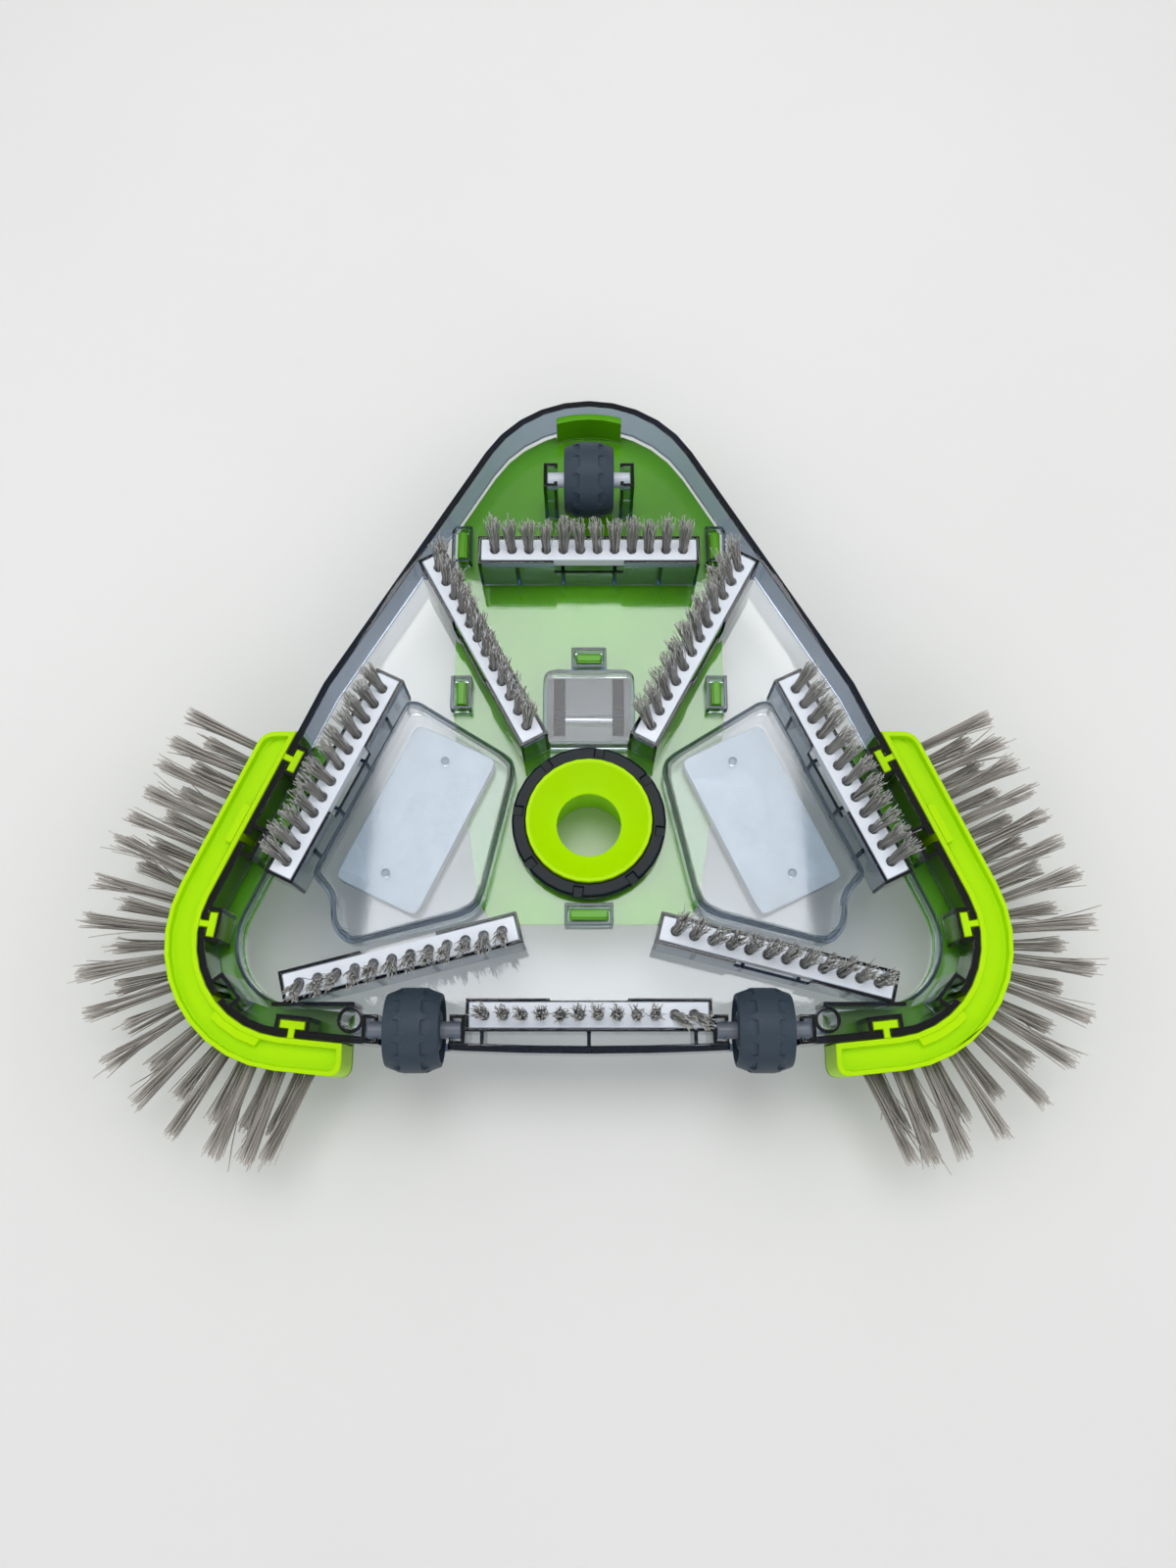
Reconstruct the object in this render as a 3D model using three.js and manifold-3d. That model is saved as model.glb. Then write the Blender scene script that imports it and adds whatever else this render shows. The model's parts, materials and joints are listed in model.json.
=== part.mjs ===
// Triangular see-through pool vacuum head with side brushes.
// Millimetres. +Z is the way the underside faces, +Y points to the apex, X is across.
// z = 0 is the inner face of the tray's floor, and X = Y = 0 is the centre of the hose port.
// The head lies on its back: it rests on the hose spigot and on the end of the folded handle.

import * as THREE from 'three';
import Module from 'manifold-3d';
import { mergeVertices } from 'three/addons/utils/BufferGeometryUtils.js';

const wasm = await Module();
wasm.setup();

// ---------------------------------------------------------------- driving dimensions
const GAP = 0.3;                    // clearance between touching pieces
const LONG = 200;                   // length of a cutter that must pass right through

// tray outline: an apex arc, two straight stretches a side, a corner arc and a bowed front
const APEX_RADIUS = 56.6;
const APEX_CENTRE_Y = 146.8;
const SIDE_BEND_Y = 60.3;           // where a side's two straight stretches meet
const LOWER_SIDE_ANGLE = 66;        // slope of the side above the corner, degrees
const CORNER_RADIUS = 41.5;
const CORNER_X = 122.8;
const CORNER_Y = -52.5;
const FRONT_RADIUS = 1153;          // the front edge is a very flat arc

// tray
const FLOOR = 2.5;
const RIM_HEIGHT = 20;
const RIM_WALL = 3.2;
const RIB = 1.6;
const INNER_WALL_OFFSET = 12;       // low wall inside each corner, from the tray's edge
const INNER_WALL_HEIGHT = 7;

// hose port
const PORT_HOLE_RADIUS = 24.8;
const NECK_RADIUS = 31.4;
const NECK_WALL = 1.2;
const NECK_HEIGHT = 6;
const SPIGOT_RADIUS = 19;           // takes a 38 mm (1 1/2 in) hose cuff
const SPIGOT_BORE = 16.9;
const THROAT_RADIUS = 14.4;
const THROAT_Z = -1.6;
const STEP_RADIUS = 18.4;           // step of the funnel, above the throat
const STEP_Z = 3;
const SHOULDER_Z = -9.5;
const CUP_RADIUS = 27.9;
const CUP_TOP = 11;
const FLANGE = 1.8;
const SEAL = 1;
const RING_RADIUS = 34.2;
const RING_TOP = 8.3;
const RING_NOTCHES = 8;
const RING_NOTCH_START = 36.5;      // degrees

// brush strips
const STRIP_LENGTH = 98;
const STRIP_WIDTH = 10.2;
const STRIP_THICKNESS = 6;
const STRIP_TOP = 24;
const HOLDER_WALL = 1.3;
const TUFTS = 12;
const TUFT_PITCH = 7.8;
const TUFT_RADIUS = 2.5;
const TUFT_HEIGHT = 17;
const TUFT_SIDES = 4;

// wheels
const WHEEL_RADIUS = 17;
const WHEEL_WIDTH = 22.6;
const AXLE_RADIUS = 3.5;
const AXLE_Z = 26;
const WHEEL_FRONT_X = 70.6;
const WHEEL_FRONT_INSET = 6.9;      // axle's distance inside the front edge
const WHEEL_APEX_Y = APEX_CENTRE_Y + 10.7;
const WHEEL_SIDE_GAP = 1.5;
const CLIP_GAP = 3.1;               // from the wheel's side to a clip
const CLIP_WIDTH = 6.4;
const CLIP_MARGIN = 2.5;            // clip around the axle, fore and aft
const CLIP_RISE = 5;                // clip above the axle's middle

// pole handle and its pivot
const PIVOT_Y = 55.3;
const PIN_RADIUS = 3;
const EAR_X = 13.4;
const EAR_THICKNESS = 4.8;
const EYE_WALL = 4.7;               // round the pin's hole in an ear
const ARM_GAP = 0.5;
const ARM_THICKNESS = 4;
const TUBE_RADIUS = 14;
const TUBE_BEAD = 0.5;              // the tube's thicker end
const TUBE_BORE = 11.3;
const TUBE_START = 30;              // from the pivot
const HANDLE_LENGTH = 135;          // from the pivot
const BUTTON_Y = 100;               // from the pivot
const BUTTON_RADIUS = 3.2;
const BUTTON_TRAVEL = 4;
const SPRING_THICKNESS = 0.8;
const SPRING_WIDTH = 8;

// clear pocket over the pivot
const POCKET_HALF_WIDTH = 20.8;
const POCKET_FROM_Y = PIVOT_Y - 19.8;
const POCKET_TO_Y = PIVOT_Y + 16.3;
const POCKET_HEIGHT = 7;
const POCKET_WALL = 2;

// weights
const PLATE_LENGTH = 78;
const PLATE_WIDTH = 40;
const PLATE_THICKNESS = 7;
const PLATE_CORNER = 4;
const PLATE_X = CORNER_X - 46.8;
const PLATE_Y = 1.3;
const PLATE_ANGLE = 64.5;
const POD_HEADROOM = 6;             // pod's top above the plate
const POD_WALL = 2;
const POD_PIN_RADIUS = 1.7;
const POD_PIN_SPACING = 56;

// side brushes
const CARRIER_WIDTH = 13.5;
const CARRIER_HEIGHT = RIM_HEIGHT;
const CARRIER_TOP_Y = CORNER_Y + 90.2;
const CARRIER_END_X = CORNER_X - 21.8;
const CARRIER_END_RADIUS = 6;
const CARRIER_WALL = 2.6;
const RECESS_DEPTH = 4;
const RECESS_WALL = 2.4;
const CARRIER_WEB_Z = 14.5;
const NEAR_ROW = { count: 16, z: 11, length: 38 };
const FAR_ROW = { count: 15, z: 4.6, length: 26 };
const SIDE_TUFT_RADIUS = 2.5;
const BACKING = 3;
const CARRIER_LIP = 3.4;             // how far the inner edge thickens where a lip stands
const LIPS = [[38, 56.5], [129, 151.5]];             // each lip's two ends along the tray's edge
const SIDE_TUFT_START = 6.5;         // first near-row tuft from the carrier's top end
const SIDE_TUFT_PITCH = 12.35;
const TONGUE_STEM = 2.8;
const TONGUE_BAR = 10.4;
const TONGUE_THICKNESS = 3.4;
const SLOT_WALL = 1.8;               // round a T-slot

// lime cover and corner caps under the floor
const COVER_THICKNESS = 2.2;
const COVER_HALF_WIDTH = 62.5;
const COVER_INSET = 3.4;

// heights that follow from the sizes above: the folded handle lies just under the cover
const coverTop = -FLOOR - GAP;
const coverBottom = coverTop - COVER_THICKNESS;
const tubeReach = TUBE_RADIUS + TUBE_BEAD;
const PIVOT_Z = coverBottom - GAP - tubeReach;
const REST_Z = PIVOT_Z - tubeReach;              // the head lies on the spigot's end and the handle
const clipOffset = WHEEL_WIDTH / 2 + CLIP_GAP + CLIP_WIDTH / 2;

// ---------------------------------------------------------------- materials
function finish(color, roughness, metalness = 0, opacity = 1) {
  return new THREE.MeshStandardMaterial({ color, roughness, metalness, opacity, transparent: opacity < 1 });
}
const smoke = () => finish(0x8d9aa8, 0.12, 0, 0.35);
const lime = () => finish(0xa8e800, 0.35);
const slate = () => finish(0x3a404c, 0.75);
const darkPlastic = () => finish(0x2b2e36, 0.45);
const white = () => finish(0xe8eef8, 0.45);
const nylon = () => finish(0x9a928c, 0.7);
const steel = () => finish(0xc9d0d6, 0.4, 0.8);
const blackRubber = () => finish(0x1c1c1e, 0.85);

// ---------------------------------------------------------------- solid helpers
const radians = THREE.MathUtils.degToRad;

/** A closed three.js geometry as a manifold solid, with its faces pointing out. */
function solid(geometry) {
  const bare = geometry.clone();
  bare.deleteAttribute('normal');
  bare.deleteAttribute('uv');
  const merged = mergeVertices(bare, 1e-4);
  const points = merged.attributes.position.array;
  const kept = [];
  let volume = 0;
  const a = new THREE.Vector3();
  const b = new THREE.Vector3();
  const c = new THREE.Vector3();
  for (let i = 0; i < merged.index.count; i += 3) {
    const [p, q, r] = [0, 1, 2].map((k) => merged.index.getX(i + k));
    if (p === q || q === r || r === p) continue;
    kept.push(p, q, r);
    a.fromArray(points, 3 * p);
    b.fromArray(points, 3 * q);
    c.fromArray(points, 3 * r);
    volume += a.dot(b.cross(c));
  }
  const triVerts = Uint32Array.from(kept);
  if (volume < 0) {
    for (let i = 0; i < triVerts.length; i += 3) {
      [triVerts[i], triVerts[i + 1]] = [triVerts[i + 1], triVerts[i]];
    }
  }
  const vertProperties = Float32Array.from(points);
  return new wasm.Manifold(new wasm.Mesh({ numProp: 3, vertProperties, triVerts }));
}

function joined(...solids) {
  return solids.flat().reduce((sum, next) => sum.add(next));
}

function cut(body, ...cutters) {
  return cutters.flat().reduce((rest, cutter) => rest.subtract(cutter), body);
}

/** A named three.js mesh from a manifold solid. */
function part(name, body, material) {
  const mesh = body.getMesh();
  const geometry = new THREE.BufferGeometry();
  geometry.setAttribute('position', new THREE.BufferAttribute(Float32Array.from(mesh.vertProperties), 3));
  geometry.setIndex(new THREE.BufferAttribute(Uint32Array.from(mesh.triVerts), 1));
  geometry.computeVertexNormals();
  const result = new THREE.Mesh(geometry, material);
  result.name = name;
  return result;
}

/** A block by its two corners. */
function block(x0, x1, y0, y1, z0, z1) {
  const geometry = new THREE.BoxGeometry(x1 - x0, y1 - y0, z1 - z0);
  return solid(geometry.translate((x0 + x1) / 2, (y0 + y1) / 2, (z0 + z1) / 2));
}

/** A flat shape, extruded from z0 to z1. */
function prism(shape, z0, z1, curveSegments = 5) {
  const settings = { depth: z1 - z0, bevelEnabled: false, curveSegments };
  return solid(new THREE.ExtrudeGeometry(shape, settings).translate(0, 0, z0));
}

/** A closed profile of [radius, z] points, turned about Z. */
function turned(profile, segments = 32) {
  const points = profile.map(([r, z]) => new THREE.Vector2(r, z));
  points.push(points[0].clone());
  return solid(new THREE.LatheGeometry(points, segments).rotateX(Math.PI / 2));
}

/** A cylinder along X, Y or Z between two stations. */
function rod(axis, radius, from, to, [u, v], segments = 16) {
  const geometry = new THREE.CylinderGeometry(radius, radius, to - from, segments);
  const middle = (from + to) / 2;
  if (axis === 'x') return solid(geometry.rotateZ(Math.PI / 2).translate(middle, u, v));
  if (axis === 'y') return solid(geometry.translate(u, middle, v));
  return solid(geometry.rotateX(Math.PI / 2).translate(u, v, middle));
}

/** The other-hand copy of a solid. */
function mirrored(body) {
  return body.mirror([1, 0, 0]);
}

function bothSides(body) {
  return [body, mirrored(body)];
}

/** A polygon whose corners are rounded, each by its own radius. */
function roundedPolygon(corners) {
  const shape = new THREE.Shape();
  corners.forEach(([x, y, radius], i) => {
    const [px, py] = corners[(i + corners.length - 1) % corners.length];
    const [nx, ny] = corners[(i + 1) % corners.length];
    const corner = new THREE.Vector2(x, y);
    const before = new THREE.Vector2(px, py).sub(corner).setLength(radius).add(corner);
    const after = new THREE.Vector2(nx, ny).sub(corner).setLength(radius).add(corner);
    if (i === 0) shape.moveTo(before.x, before.y);
    else shape.lineTo(before.x, before.y);
    shape.quadraticCurveTo(x, y, after.x, after.y);
  });
  shape.closePath();
  return shape;
}

function rectangle(halfX, halfY) {
  const shape = new THREE.Shape();
  shape.moveTo(-halfX, -halfY);
  shape.lineTo(halfX, -halfY);
  shape.lineTo(halfX, halfY);
  shape.lineTo(-halfX, halfY);
  shape.closePath();
  return shape;
}

// ---------------------------------------------------------------- outline of the tray
const lowerNormal = new THREE.Vector2(Math.sin(radians(LOWER_SIDE_ANGLE)), Math.cos(radians(LOWER_SIDE_ANGLE)));
const frontCentreY = Math.sqrt((FRONT_RADIUS - CORNER_RADIUS) ** 2 - CORNER_X ** 2) + CORNER_Y;
const frontAngle = Math.atan2(CORNER_Y - frontCentreY, CORNER_X);
const cornerStart = radians(90 - LOWER_SIDE_ANGLE);

/** The lower side line, moved in by an inset: its x at a given y. */
function lowerSideX(y, inset) {
  const reach = CORNER_X * lowerNormal.x + CORNER_Y * lowerNormal.y + CORNER_RADIUS - inset;
  return (reach - y * lowerNormal.y) / lowerNormal.x;
}

// the upper stretch runs from the bend to the apex arc, which it touches
const bend = new THREE.Vector2(lowerSideX(SIDE_BEND_Y, 0), SIDE_BEND_Y - APEX_CENTRE_Y);
const upperAngle = Math.atan2(bend.x, bend.y) - Math.acos(APEX_RADIUS / bend.length());
const upperNormal = new THREE.Vector2(Math.sin(upperAngle), Math.cos(upperAngle));

/** Where the two straight stretches of the right side meet, moved in by an inset. */
function sideBend(inset) {
  const upperReach = APEX_CENTRE_Y * upperNormal.y + APEX_RADIUS - inset;
  const lowerReach = CORNER_X * lowerNormal.x + CORNER_Y * lowerNormal.y + CORNER_RADIUS - inset;
  const determinant = upperNormal.x * lowerNormal.y - upperNormal.y * lowerNormal.x;
  const x = (upperReach * lowerNormal.y - lowerReach * upperNormal.y) / determinant;
  const y = (upperNormal.x * lowerReach - lowerNormal.x * upperReach) / determinant;
  return [x, y];
}

/** The whole outline of the tray, moved in by an inset (or out by a negative one). */
function trayOutline(inset) {
  const shape = new THREE.Shape();
  const apexStart = Math.PI / 2 - upperAngle;
  const [bendX, bendY] = sideBend(inset);
  const corner = CORNER_RADIUS - inset;
  shape.absarc(0, APEX_CENTRE_Y, APEX_RADIUS - inset, apexStart, Math.PI - apexStart, false);
  shape.lineTo(-bendX, bendY);
  shape.absarc(-CORNER_X, CORNER_Y, corner, Math.PI - cornerStart, Math.PI - frontAngle, false);
  shape.absarc(0, frontCentreY, FRONT_RADIUS - inset, -Math.PI - frontAngle, frontAngle, false);
  shape.absarc(CORNER_X, CORNER_Y, corner, frontAngle, cornerStart, false);
  shape.lineTo(bendX, bendY);
  shape.closePath();
  return shape;
}

/** The front edge's y at a given x, moved in by an inset. */
function frontY(x, inset) {
  return frontCentreY - Math.sqrt((FRONT_RADIUS - inset) ** 2 - x ** 2);
}

/** A band round the right-hand corner, between two insets, with its ends drawn back by trim. */
function cornerBand(innerInset, outerInset, trim, endRadius) {
  const topY = CARRIER_TOP_Y - trim;
  const endX = CARRIER_END_X + trim;
  const alongSide = new THREE.Vector2(lowerNormal.y, -lowerNormal.x).multiplyScalar(endRadius);
  const outerTop = [lowerSideX(topY, outerInset), topY];
  const shape = new THREE.Shape();
  const bendY = CORNER_Y + (CORNER_RADIUS - innerInset) * lowerNormal.y;
  shape.moveTo(lowerSideX(topY, innerInset), topY);
  shape.lineTo(lowerSideX(bendY, innerInset), bendY);
  shape.absarc(CORNER_X, CORNER_Y, CORNER_RADIUS - innerInset, cornerStart, frontAngle, true);
  shape.lineTo(endX, frontY(endX, innerInset));
  shape.lineTo(endX, frontY(endX, outerInset) + endRadius);
  shape.quadraticCurveTo(endX, frontY(endX, outerInset), endX + endRadius, frontY(endX + endRadius, outerInset));
  shape.absarc(CORNER_X, CORNER_Y, CORNER_RADIUS - outerInset, frontAngle, cornerStart, false);
  shape.lineTo(outerTop[0] + alongSide.x, outerTop[1] + alongSide.y);
  shape.quadraticCurveTo(outerTop[0], outerTop[1], outerTop[0] - endRadius, topY);
  shape.closePath();
  return shape;
}

/** Point, outward normal angle at a distance along the right-hand corner path, for an inset. */
function cornerStation(distance, inset) {
  const radius = CORNER_RADIUS - inset;
  const tangentX = CORNER_X + radius * lowerNormal.x;
  const tangentY = CORNER_Y + radius * lowerNormal.y;
  const straight = (CARRIER_TOP_Y - tangentY) / lowerNormal.x;
  const bend = radius * (cornerStart - frontAngle);
  if (distance < straight) {
    const back = straight - distance;
    const x = tangentX - back * lowerNormal.y;
    return { x, y: tangentY + back * lowerNormal.x, angle: cornerStart };
  }
  if (distance < straight + bend) {
    const angle = cornerStart - (distance - straight) / radius;
    return { x: CORNER_X + radius * Math.cos(angle), y: CORNER_Y + radius * Math.sin(angle), angle };
  }
  const frontRadius = FRONT_RADIUS - inset;
  const angle = frontAngle - (distance - straight - bend) / frontRadius;
  return { x: frontRadius * Math.cos(angle), y: frontCentreY + frontRadius * Math.sin(angle), angle };
}

/** Moves a solid made at the origin, with +X as its outward way, to a station of the tray's edge. */
function atStation(body, station) {
  return body.rotate([0, 0, THREE.MathUtils.radToDeg(station.angle)]).translate([station.x, station.y, 0]);
}

const edge = (distance) => cornerStation(distance, 0);
const SLOT_STATIONS = [12.5, 52, 92, 126, 163];      // along the tray's edge from the carrier's top
const FILLED_SLOTS = [0, 2, 4];
const EMPTY_SLOTS = [1, 3];

// ---------------------------------------------------------------- places of repeated pieces
// each strip: middle, and the angle of its long side; notchSide says which wall has the finger notch
const holders = {
  apex: { x: 0, y: APEX_CENTRE_Y - 23.5, angle: 0, notchSide: -1 },
  front: { x: 0, y: frontY(0, 0) + 15.4, angle: 0, notchSide: 1 },
  upper_right: { x: 47.8, y: APEX_CENTRE_Y - 70.2, angle: 61.5, notchSide: -1 },
  upper_left: { x: -47.8, y: APEX_CENTRE_Y - 70.2, angle: -61.5, notchSide: -1 },
  outer_right: { x: CORNER_X - 13.3, y: CORNER_Y + 69.7, angle: -64.6, notchSide: -1 },
  outer_left: { x: 13.3 - CORNER_X, y: CORNER_Y + 69.7, angle: 64.6, notchSide: -1 },
  lower_right: { x: CORNER_X - 45, y: CORNER_Y - 9.3, angle: -14.4, notchSide: -1 },
  lower_left: { x: 45 - CORNER_X, y: CORNER_Y - 9.3, angle: 14.4, notchSide: 1 },
};
const frontWheelY = frontY(WHEEL_FRONT_X, 0) + WHEEL_FRONT_INSET;
const wheels = {
  front_left: { x: -WHEEL_FRONT_X, y: frontWheelY },
  front_right: { x: WHEEL_FRONT_X, y: frontWheelY },
  apex: { x: 0, y: WHEEL_APEX_Y },
};
// each socket of the cover's snap tongues: middle, and half sizes of its frame
const sockets = {
  apex_right: { x: COVER_HALF_WIDTH - 2.5, y: APEX_CENTRE_Y - 11.4, halfX: 4.8, halfY: 9.2 },
  apex_left: { x: 2.5 - COVER_HALF_WIDTH, y: APEX_CENTRE_Y - 11.4, halfX: 4.8, halfY: 9.2 },
  side_right: { x: COVER_HALF_WIDTH - 4.1, y: 61, halfX: 4.8, halfY: 8 },
  side_left: { x: 4.1 - COVER_HALF_WIDTH, y: 61, halfX: 4.8, halfY: 8 },
  pivot: { x: 0, y: POCKET_TO_Y + 6.4, halfX: 8, halfY: 4.8 },
  front: { x: 0, y: -41, halfX: 10.6, halfY: 4.8 },
};
const SOCKET_HEIGHT = 6;
const SOCKET_WALL = 1.4;
const TONGUE_FLOOR_GAP = 0.7;        // from a snap tongue to the slot that it passes

function placed(body, { x, y, angle = 0 }) {
  return body.rotate([0, 0, angle]).translate([x, y, 0]);
}

// ---------------------------------------------------------------- brush strips and their holders
const seatLength = STRIP_LENGTH + 2 * GAP;
const seatWidth = STRIP_WIDTH + 2 * GAP;

function holderOuter(spare = 0) {
  const wall = HOLDER_WALL + spare;
  return prism(rectangle(seatLength / 2 + wall, seatWidth / 2 + wall), -FLOOR / 2, STRIP_TOP);
}

/** The room inside a holder, with cross ribs left standing that the strip sits on. */
function holderHollow(notchSide) {
  const seatZ = STRIP_TOP - STRIP_THICKNESS - GAP;
  const hollow = prism(rectangle(seatLength / 2, seatWidth / 2), 0, LONG);
  const ribs = [-33, -12, 12, 33].map((x) => block(x - RIB / 2, x + RIB / 2, -LONG, LONG, -1, seatZ));
  const notch = block(-16, 16, 0, seatWidth, seatZ - 4, LONG).translate([0, notchSide > 0 ? 0 : -seatWidth, 0]);
  return joined(cut(hollow, ribs), notch);
}

function brushStrip() {
  const bottom = STRIP_TOP - STRIP_THICKNESS;
  const bar = prism(rectangle(STRIP_LENGTH / 2, STRIP_WIDTH / 2), bottom, STRIP_TOP);
  const tufts = [];
  for (let i = 0; i < TUFTS; i += 1) {
    const x = (i - (TUFTS - 1) / 2) * TUFT_PITCH;
    tufts.push(rod('z', TUFT_RADIUS, STRIP_TOP - 1, STRIP_TOP + TUFT_HEIGHT, [x, 0], TUFT_SIDES));
  }
  return joined(bar, tufts);
}

// ---------------------------------------------------------------- wheels, axles and clips
function wheel() {
  const half = WHEEL_WIDTH / 2;
  const bore = AXLE_RADIUS + GAP;
  return turned([
    [bore, -half + 0.6], [7, -half + 0.6], [9, -half + 2.2], [13, -half],
    [15, -half + 0.8], [WHEEL_RADIUS, -half + 6], [WHEEL_RADIUS, half - 6], [15, half - 0.8],
    [13, half], [9, half - 2.2], [7, half - 0.6], [bore, half - 0.6],
  ], 20).rotate([0, 90, 0]);
}

const axleHalf = clipOffset + CLIP_WIDTH / 2 - RIB - GAP;

function axle() {
  return rod('x', AXLE_RADIUS, -axleHalf, axleHalf, [0, 0]);
}

/** The hollow clip on one side of a wheel, open upwards so that the axle snaps in. */
function wheelClip({ x, y }, side) {
  const middle = side * clipOffset;
  const half = CLIP_WIDTH / 2;
  const deep = AXLE_RADIUS + CLIP_MARGIN;
  const outer = block(middle - half, middle + half, -deep, deep, -FLOOR / 2, AXLE_Z + CLIP_RISE);
  const room = block(middle - half + RIB, middle + half - RIB, -deep + RIB, deep - RIB, 0, LONG);
  const from = side > 0 ? middle - half - 1 : middle - half + RIB;
  const to = side > 0 ? middle + half - RIB : middle + half + 1;
  const hole = rod('x', AXLE_RADIUS + GAP, from, to, [0, AXLE_Z]);
  const mouth = block(from, to, -AXLE_RADIUS + 0.2, AXLE_RADIUS - 0.2, AXLE_Z, LONG);
  return cut(outer, room, hole, mouth).translate([x, y, 0]);
}

// ---------------------------------------------------------------- snap sockets and tongues
function socketFrame({ x, y, halfX, halfY }) {
  return prism(rectangle(halfX, halfY), -FLOOR / 2, SOCKET_HEIGHT).translate([x, y, 0]);
}

function socketRoom({ x, y, halfX, halfY }) {
  const room = prism(rectangle(halfX - SOCKET_WALL, halfY - SOCKET_WALL), 0, LONG);
  const tongue = tongueHalf({ halfX, halfY });
  const slot = prism(rectangle(tongue.x + TONGUE_FLOOR_GAP / 2, tongue.y + TONGUE_FLOOR_GAP / 2), -LONG, 1);
  return joined(room, slot).translate([x, y, 0]);
}

/** Half sizes of the tongue that stands in a socket: thin across, long along. */
function tongueHalf({ halfX, halfY }) {
  const thin = 1.3;
  const long = Math.max(halfX, halfY) - SOCKET_WALL - 1.2;
  return halfX > halfY ? { x: long, y: thin } : { x: thin, y: long };
}

/** A tongue with a hooked head that is wider than its slot. */
function snapTongue({ x, y, halfX, halfY }) {
  const half = tongueHalf({ halfX, halfY });
  const hook = 0.9;
  const head = halfX > halfY ? rectangle(half.x, half.y + hook) : rectangle(half.x + hook, half.y);
  const stem = prism(rectangle(half.x, half.y), -FLOOR - GAP - 1, SOCKET_HEIGHT - 1);
  return joined(stem, prism(head, GAP, SOCKET_HEIGHT - 1.6)).translate([x, y, 0]);
}

// the long front tongue of the cover stands against the apex wall
const apexTongueOuter = APEX_RADIUS - RIM_WALL - 2 * GAP;
const APEX_TONGUE = { thickness: 3.2, halfWidth: 15.5, height: 15 };

function apexTongueBlock(grow, z0, z1) {
  const outer = rod('z', apexTongueOuter + grow, z0, z1, [0, APEX_CENTRE_Y], 48);
  const inner = rod('z', apexTongueOuter - APEX_TONGUE.thickness - grow, z0 - 1, z1 + 1, [0, APEX_CENTRE_Y], 48);
  const half = APEX_TONGUE.halfWidth + grow;
  return cut(outer, inner).intersect(block(-half, half, APEX_CENTRE_Y, LONG * 2, z0, z1));
}

// ---------------------------------------------------------------- T-slots and tongues
const pocket = {
  width: TONGUE_BAR + 2 * GAP,
  depth: TONGUE_THICKNESS + 2 * GAP,
  wall: SLOT_WALL,
};

/** The thick part of the edge that a T-slot is cut in. */
function slotBlock(station) {
  const half = pocket.width / 2 + pocket.wall;
  const depth = RIM_WALL + pocket.depth + pocket.wall;
  return atStation(block(-depth, -RIM_WALL / 2, -half, half, -FLOOR / 2, RIM_HEIGHT), station);
}

function slotRoom(station) {
  const half = pocket.width / 2;
  const stem = TONGUE_STEM / 2 + GAP;
  const room = block(-RIM_WALL - pocket.depth, -RIM_WALL, -half, half, 0, LONG);
  const mouth = block(-RIM_WALL - 1, RIM_WALL, -stem, stem, 0, LONG);
  return atStation(joined(room, mouth), station);
}

function tongue(station) {
  const reach = -RIM_WALL - GAP;
  const height = RIM_HEIGHT - 0.5;
  const stem = block(reach - 1, 1, -TONGUE_STEM / 2, TONGUE_STEM / 2, GAP, height);
  const bar = block(reach - TONGUE_THICKNESS, reach, -TONGUE_BAR / 2, TONGUE_BAR / 2, GAP, height);
  return atStation(joined(stem, bar), station);
}

// posts of the corner caps stand up into the two empty slots
const CAP_POST = { halfX: 1.1, halfY: 3.6, head: 0.5, height: 4 };
const postInset = RIM_WALL + pocket.depth / 2;

function capPost(station) {
  const { halfX, halfY, head, height } = CAP_POST;
  const stem = block(-postInset - halfX, -postInset + halfX, -halfY, halfY, -FLOOR - GAP - 1, height);
  const top = block(-postInset - halfX - head, -postInset + halfX + head, -halfY, halfY, GAP, height);
  return atStation(joined(stem, top), station);
}

function capPostHole(station) {
  const { halfX, halfY } = CAP_POST;
  const clear = GAP + 0.05;
  const hole = block(
    -postInset - halfX - clear, -postInset + halfX + clear, -halfY - clear, halfY + clear, -LONG, 1,
  );
  return atStation(hole, station);
}

// ---------------------------------------------------------------- clear pivot bracket
const eyeRadius = PIN_RADIUS + GAP + EYE_WALL;

function earShape() {
  const roof = POCKET_HEIGHT - POCKET_WALL / 2;
  const shape = new THREE.Shape();
  shape.moveTo(-eyeRadius - 7, roof);
  shape.lineTo(-eyeRadius - 7, -FLOOR);
  shape.lineTo(-eyeRadius, PIVOT_Z);
  shape.absarc(0, PIVOT_Z, eyeRadius, Math.PI, 2 * Math.PI, false);
  shape.lineTo(eyeRadius + 4, -FLOOR);
  shape.lineTo(eyeRadius + 4, roof);
  shape.closePath();
  return shape;
}

/** One pivot ear: a plate that hangs from the pocket's roof, with the pin's eye at its lower end. */
function ear(side) {
  const plate = prism(earShape(), -EAR_THICKNESS / 2, EAR_THICKNESS / 2, 6);
  const upright = plate.rotate([90, 0, 90]).translate([side * EAR_X, PIVOT_Y, 0]);
  return cut(upright, rod('x', PIN_RADIUS + GAP, -LONG, LONG, [PIVOT_Y, PIVOT_Z]));
}

function pocketRoom() {
  return block(
    -POCKET_HALF_WIDTH + POCKET_WALL, POCKET_HALF_WIDTH - POCKET_WALL,
    POCKET_FROM_Y + POCKET_WALL, POCKET_TO_Y - POCKET_WALL, -LONG, POCKET_HEIGHT - POCKET_WALL,
  );
}

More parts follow.
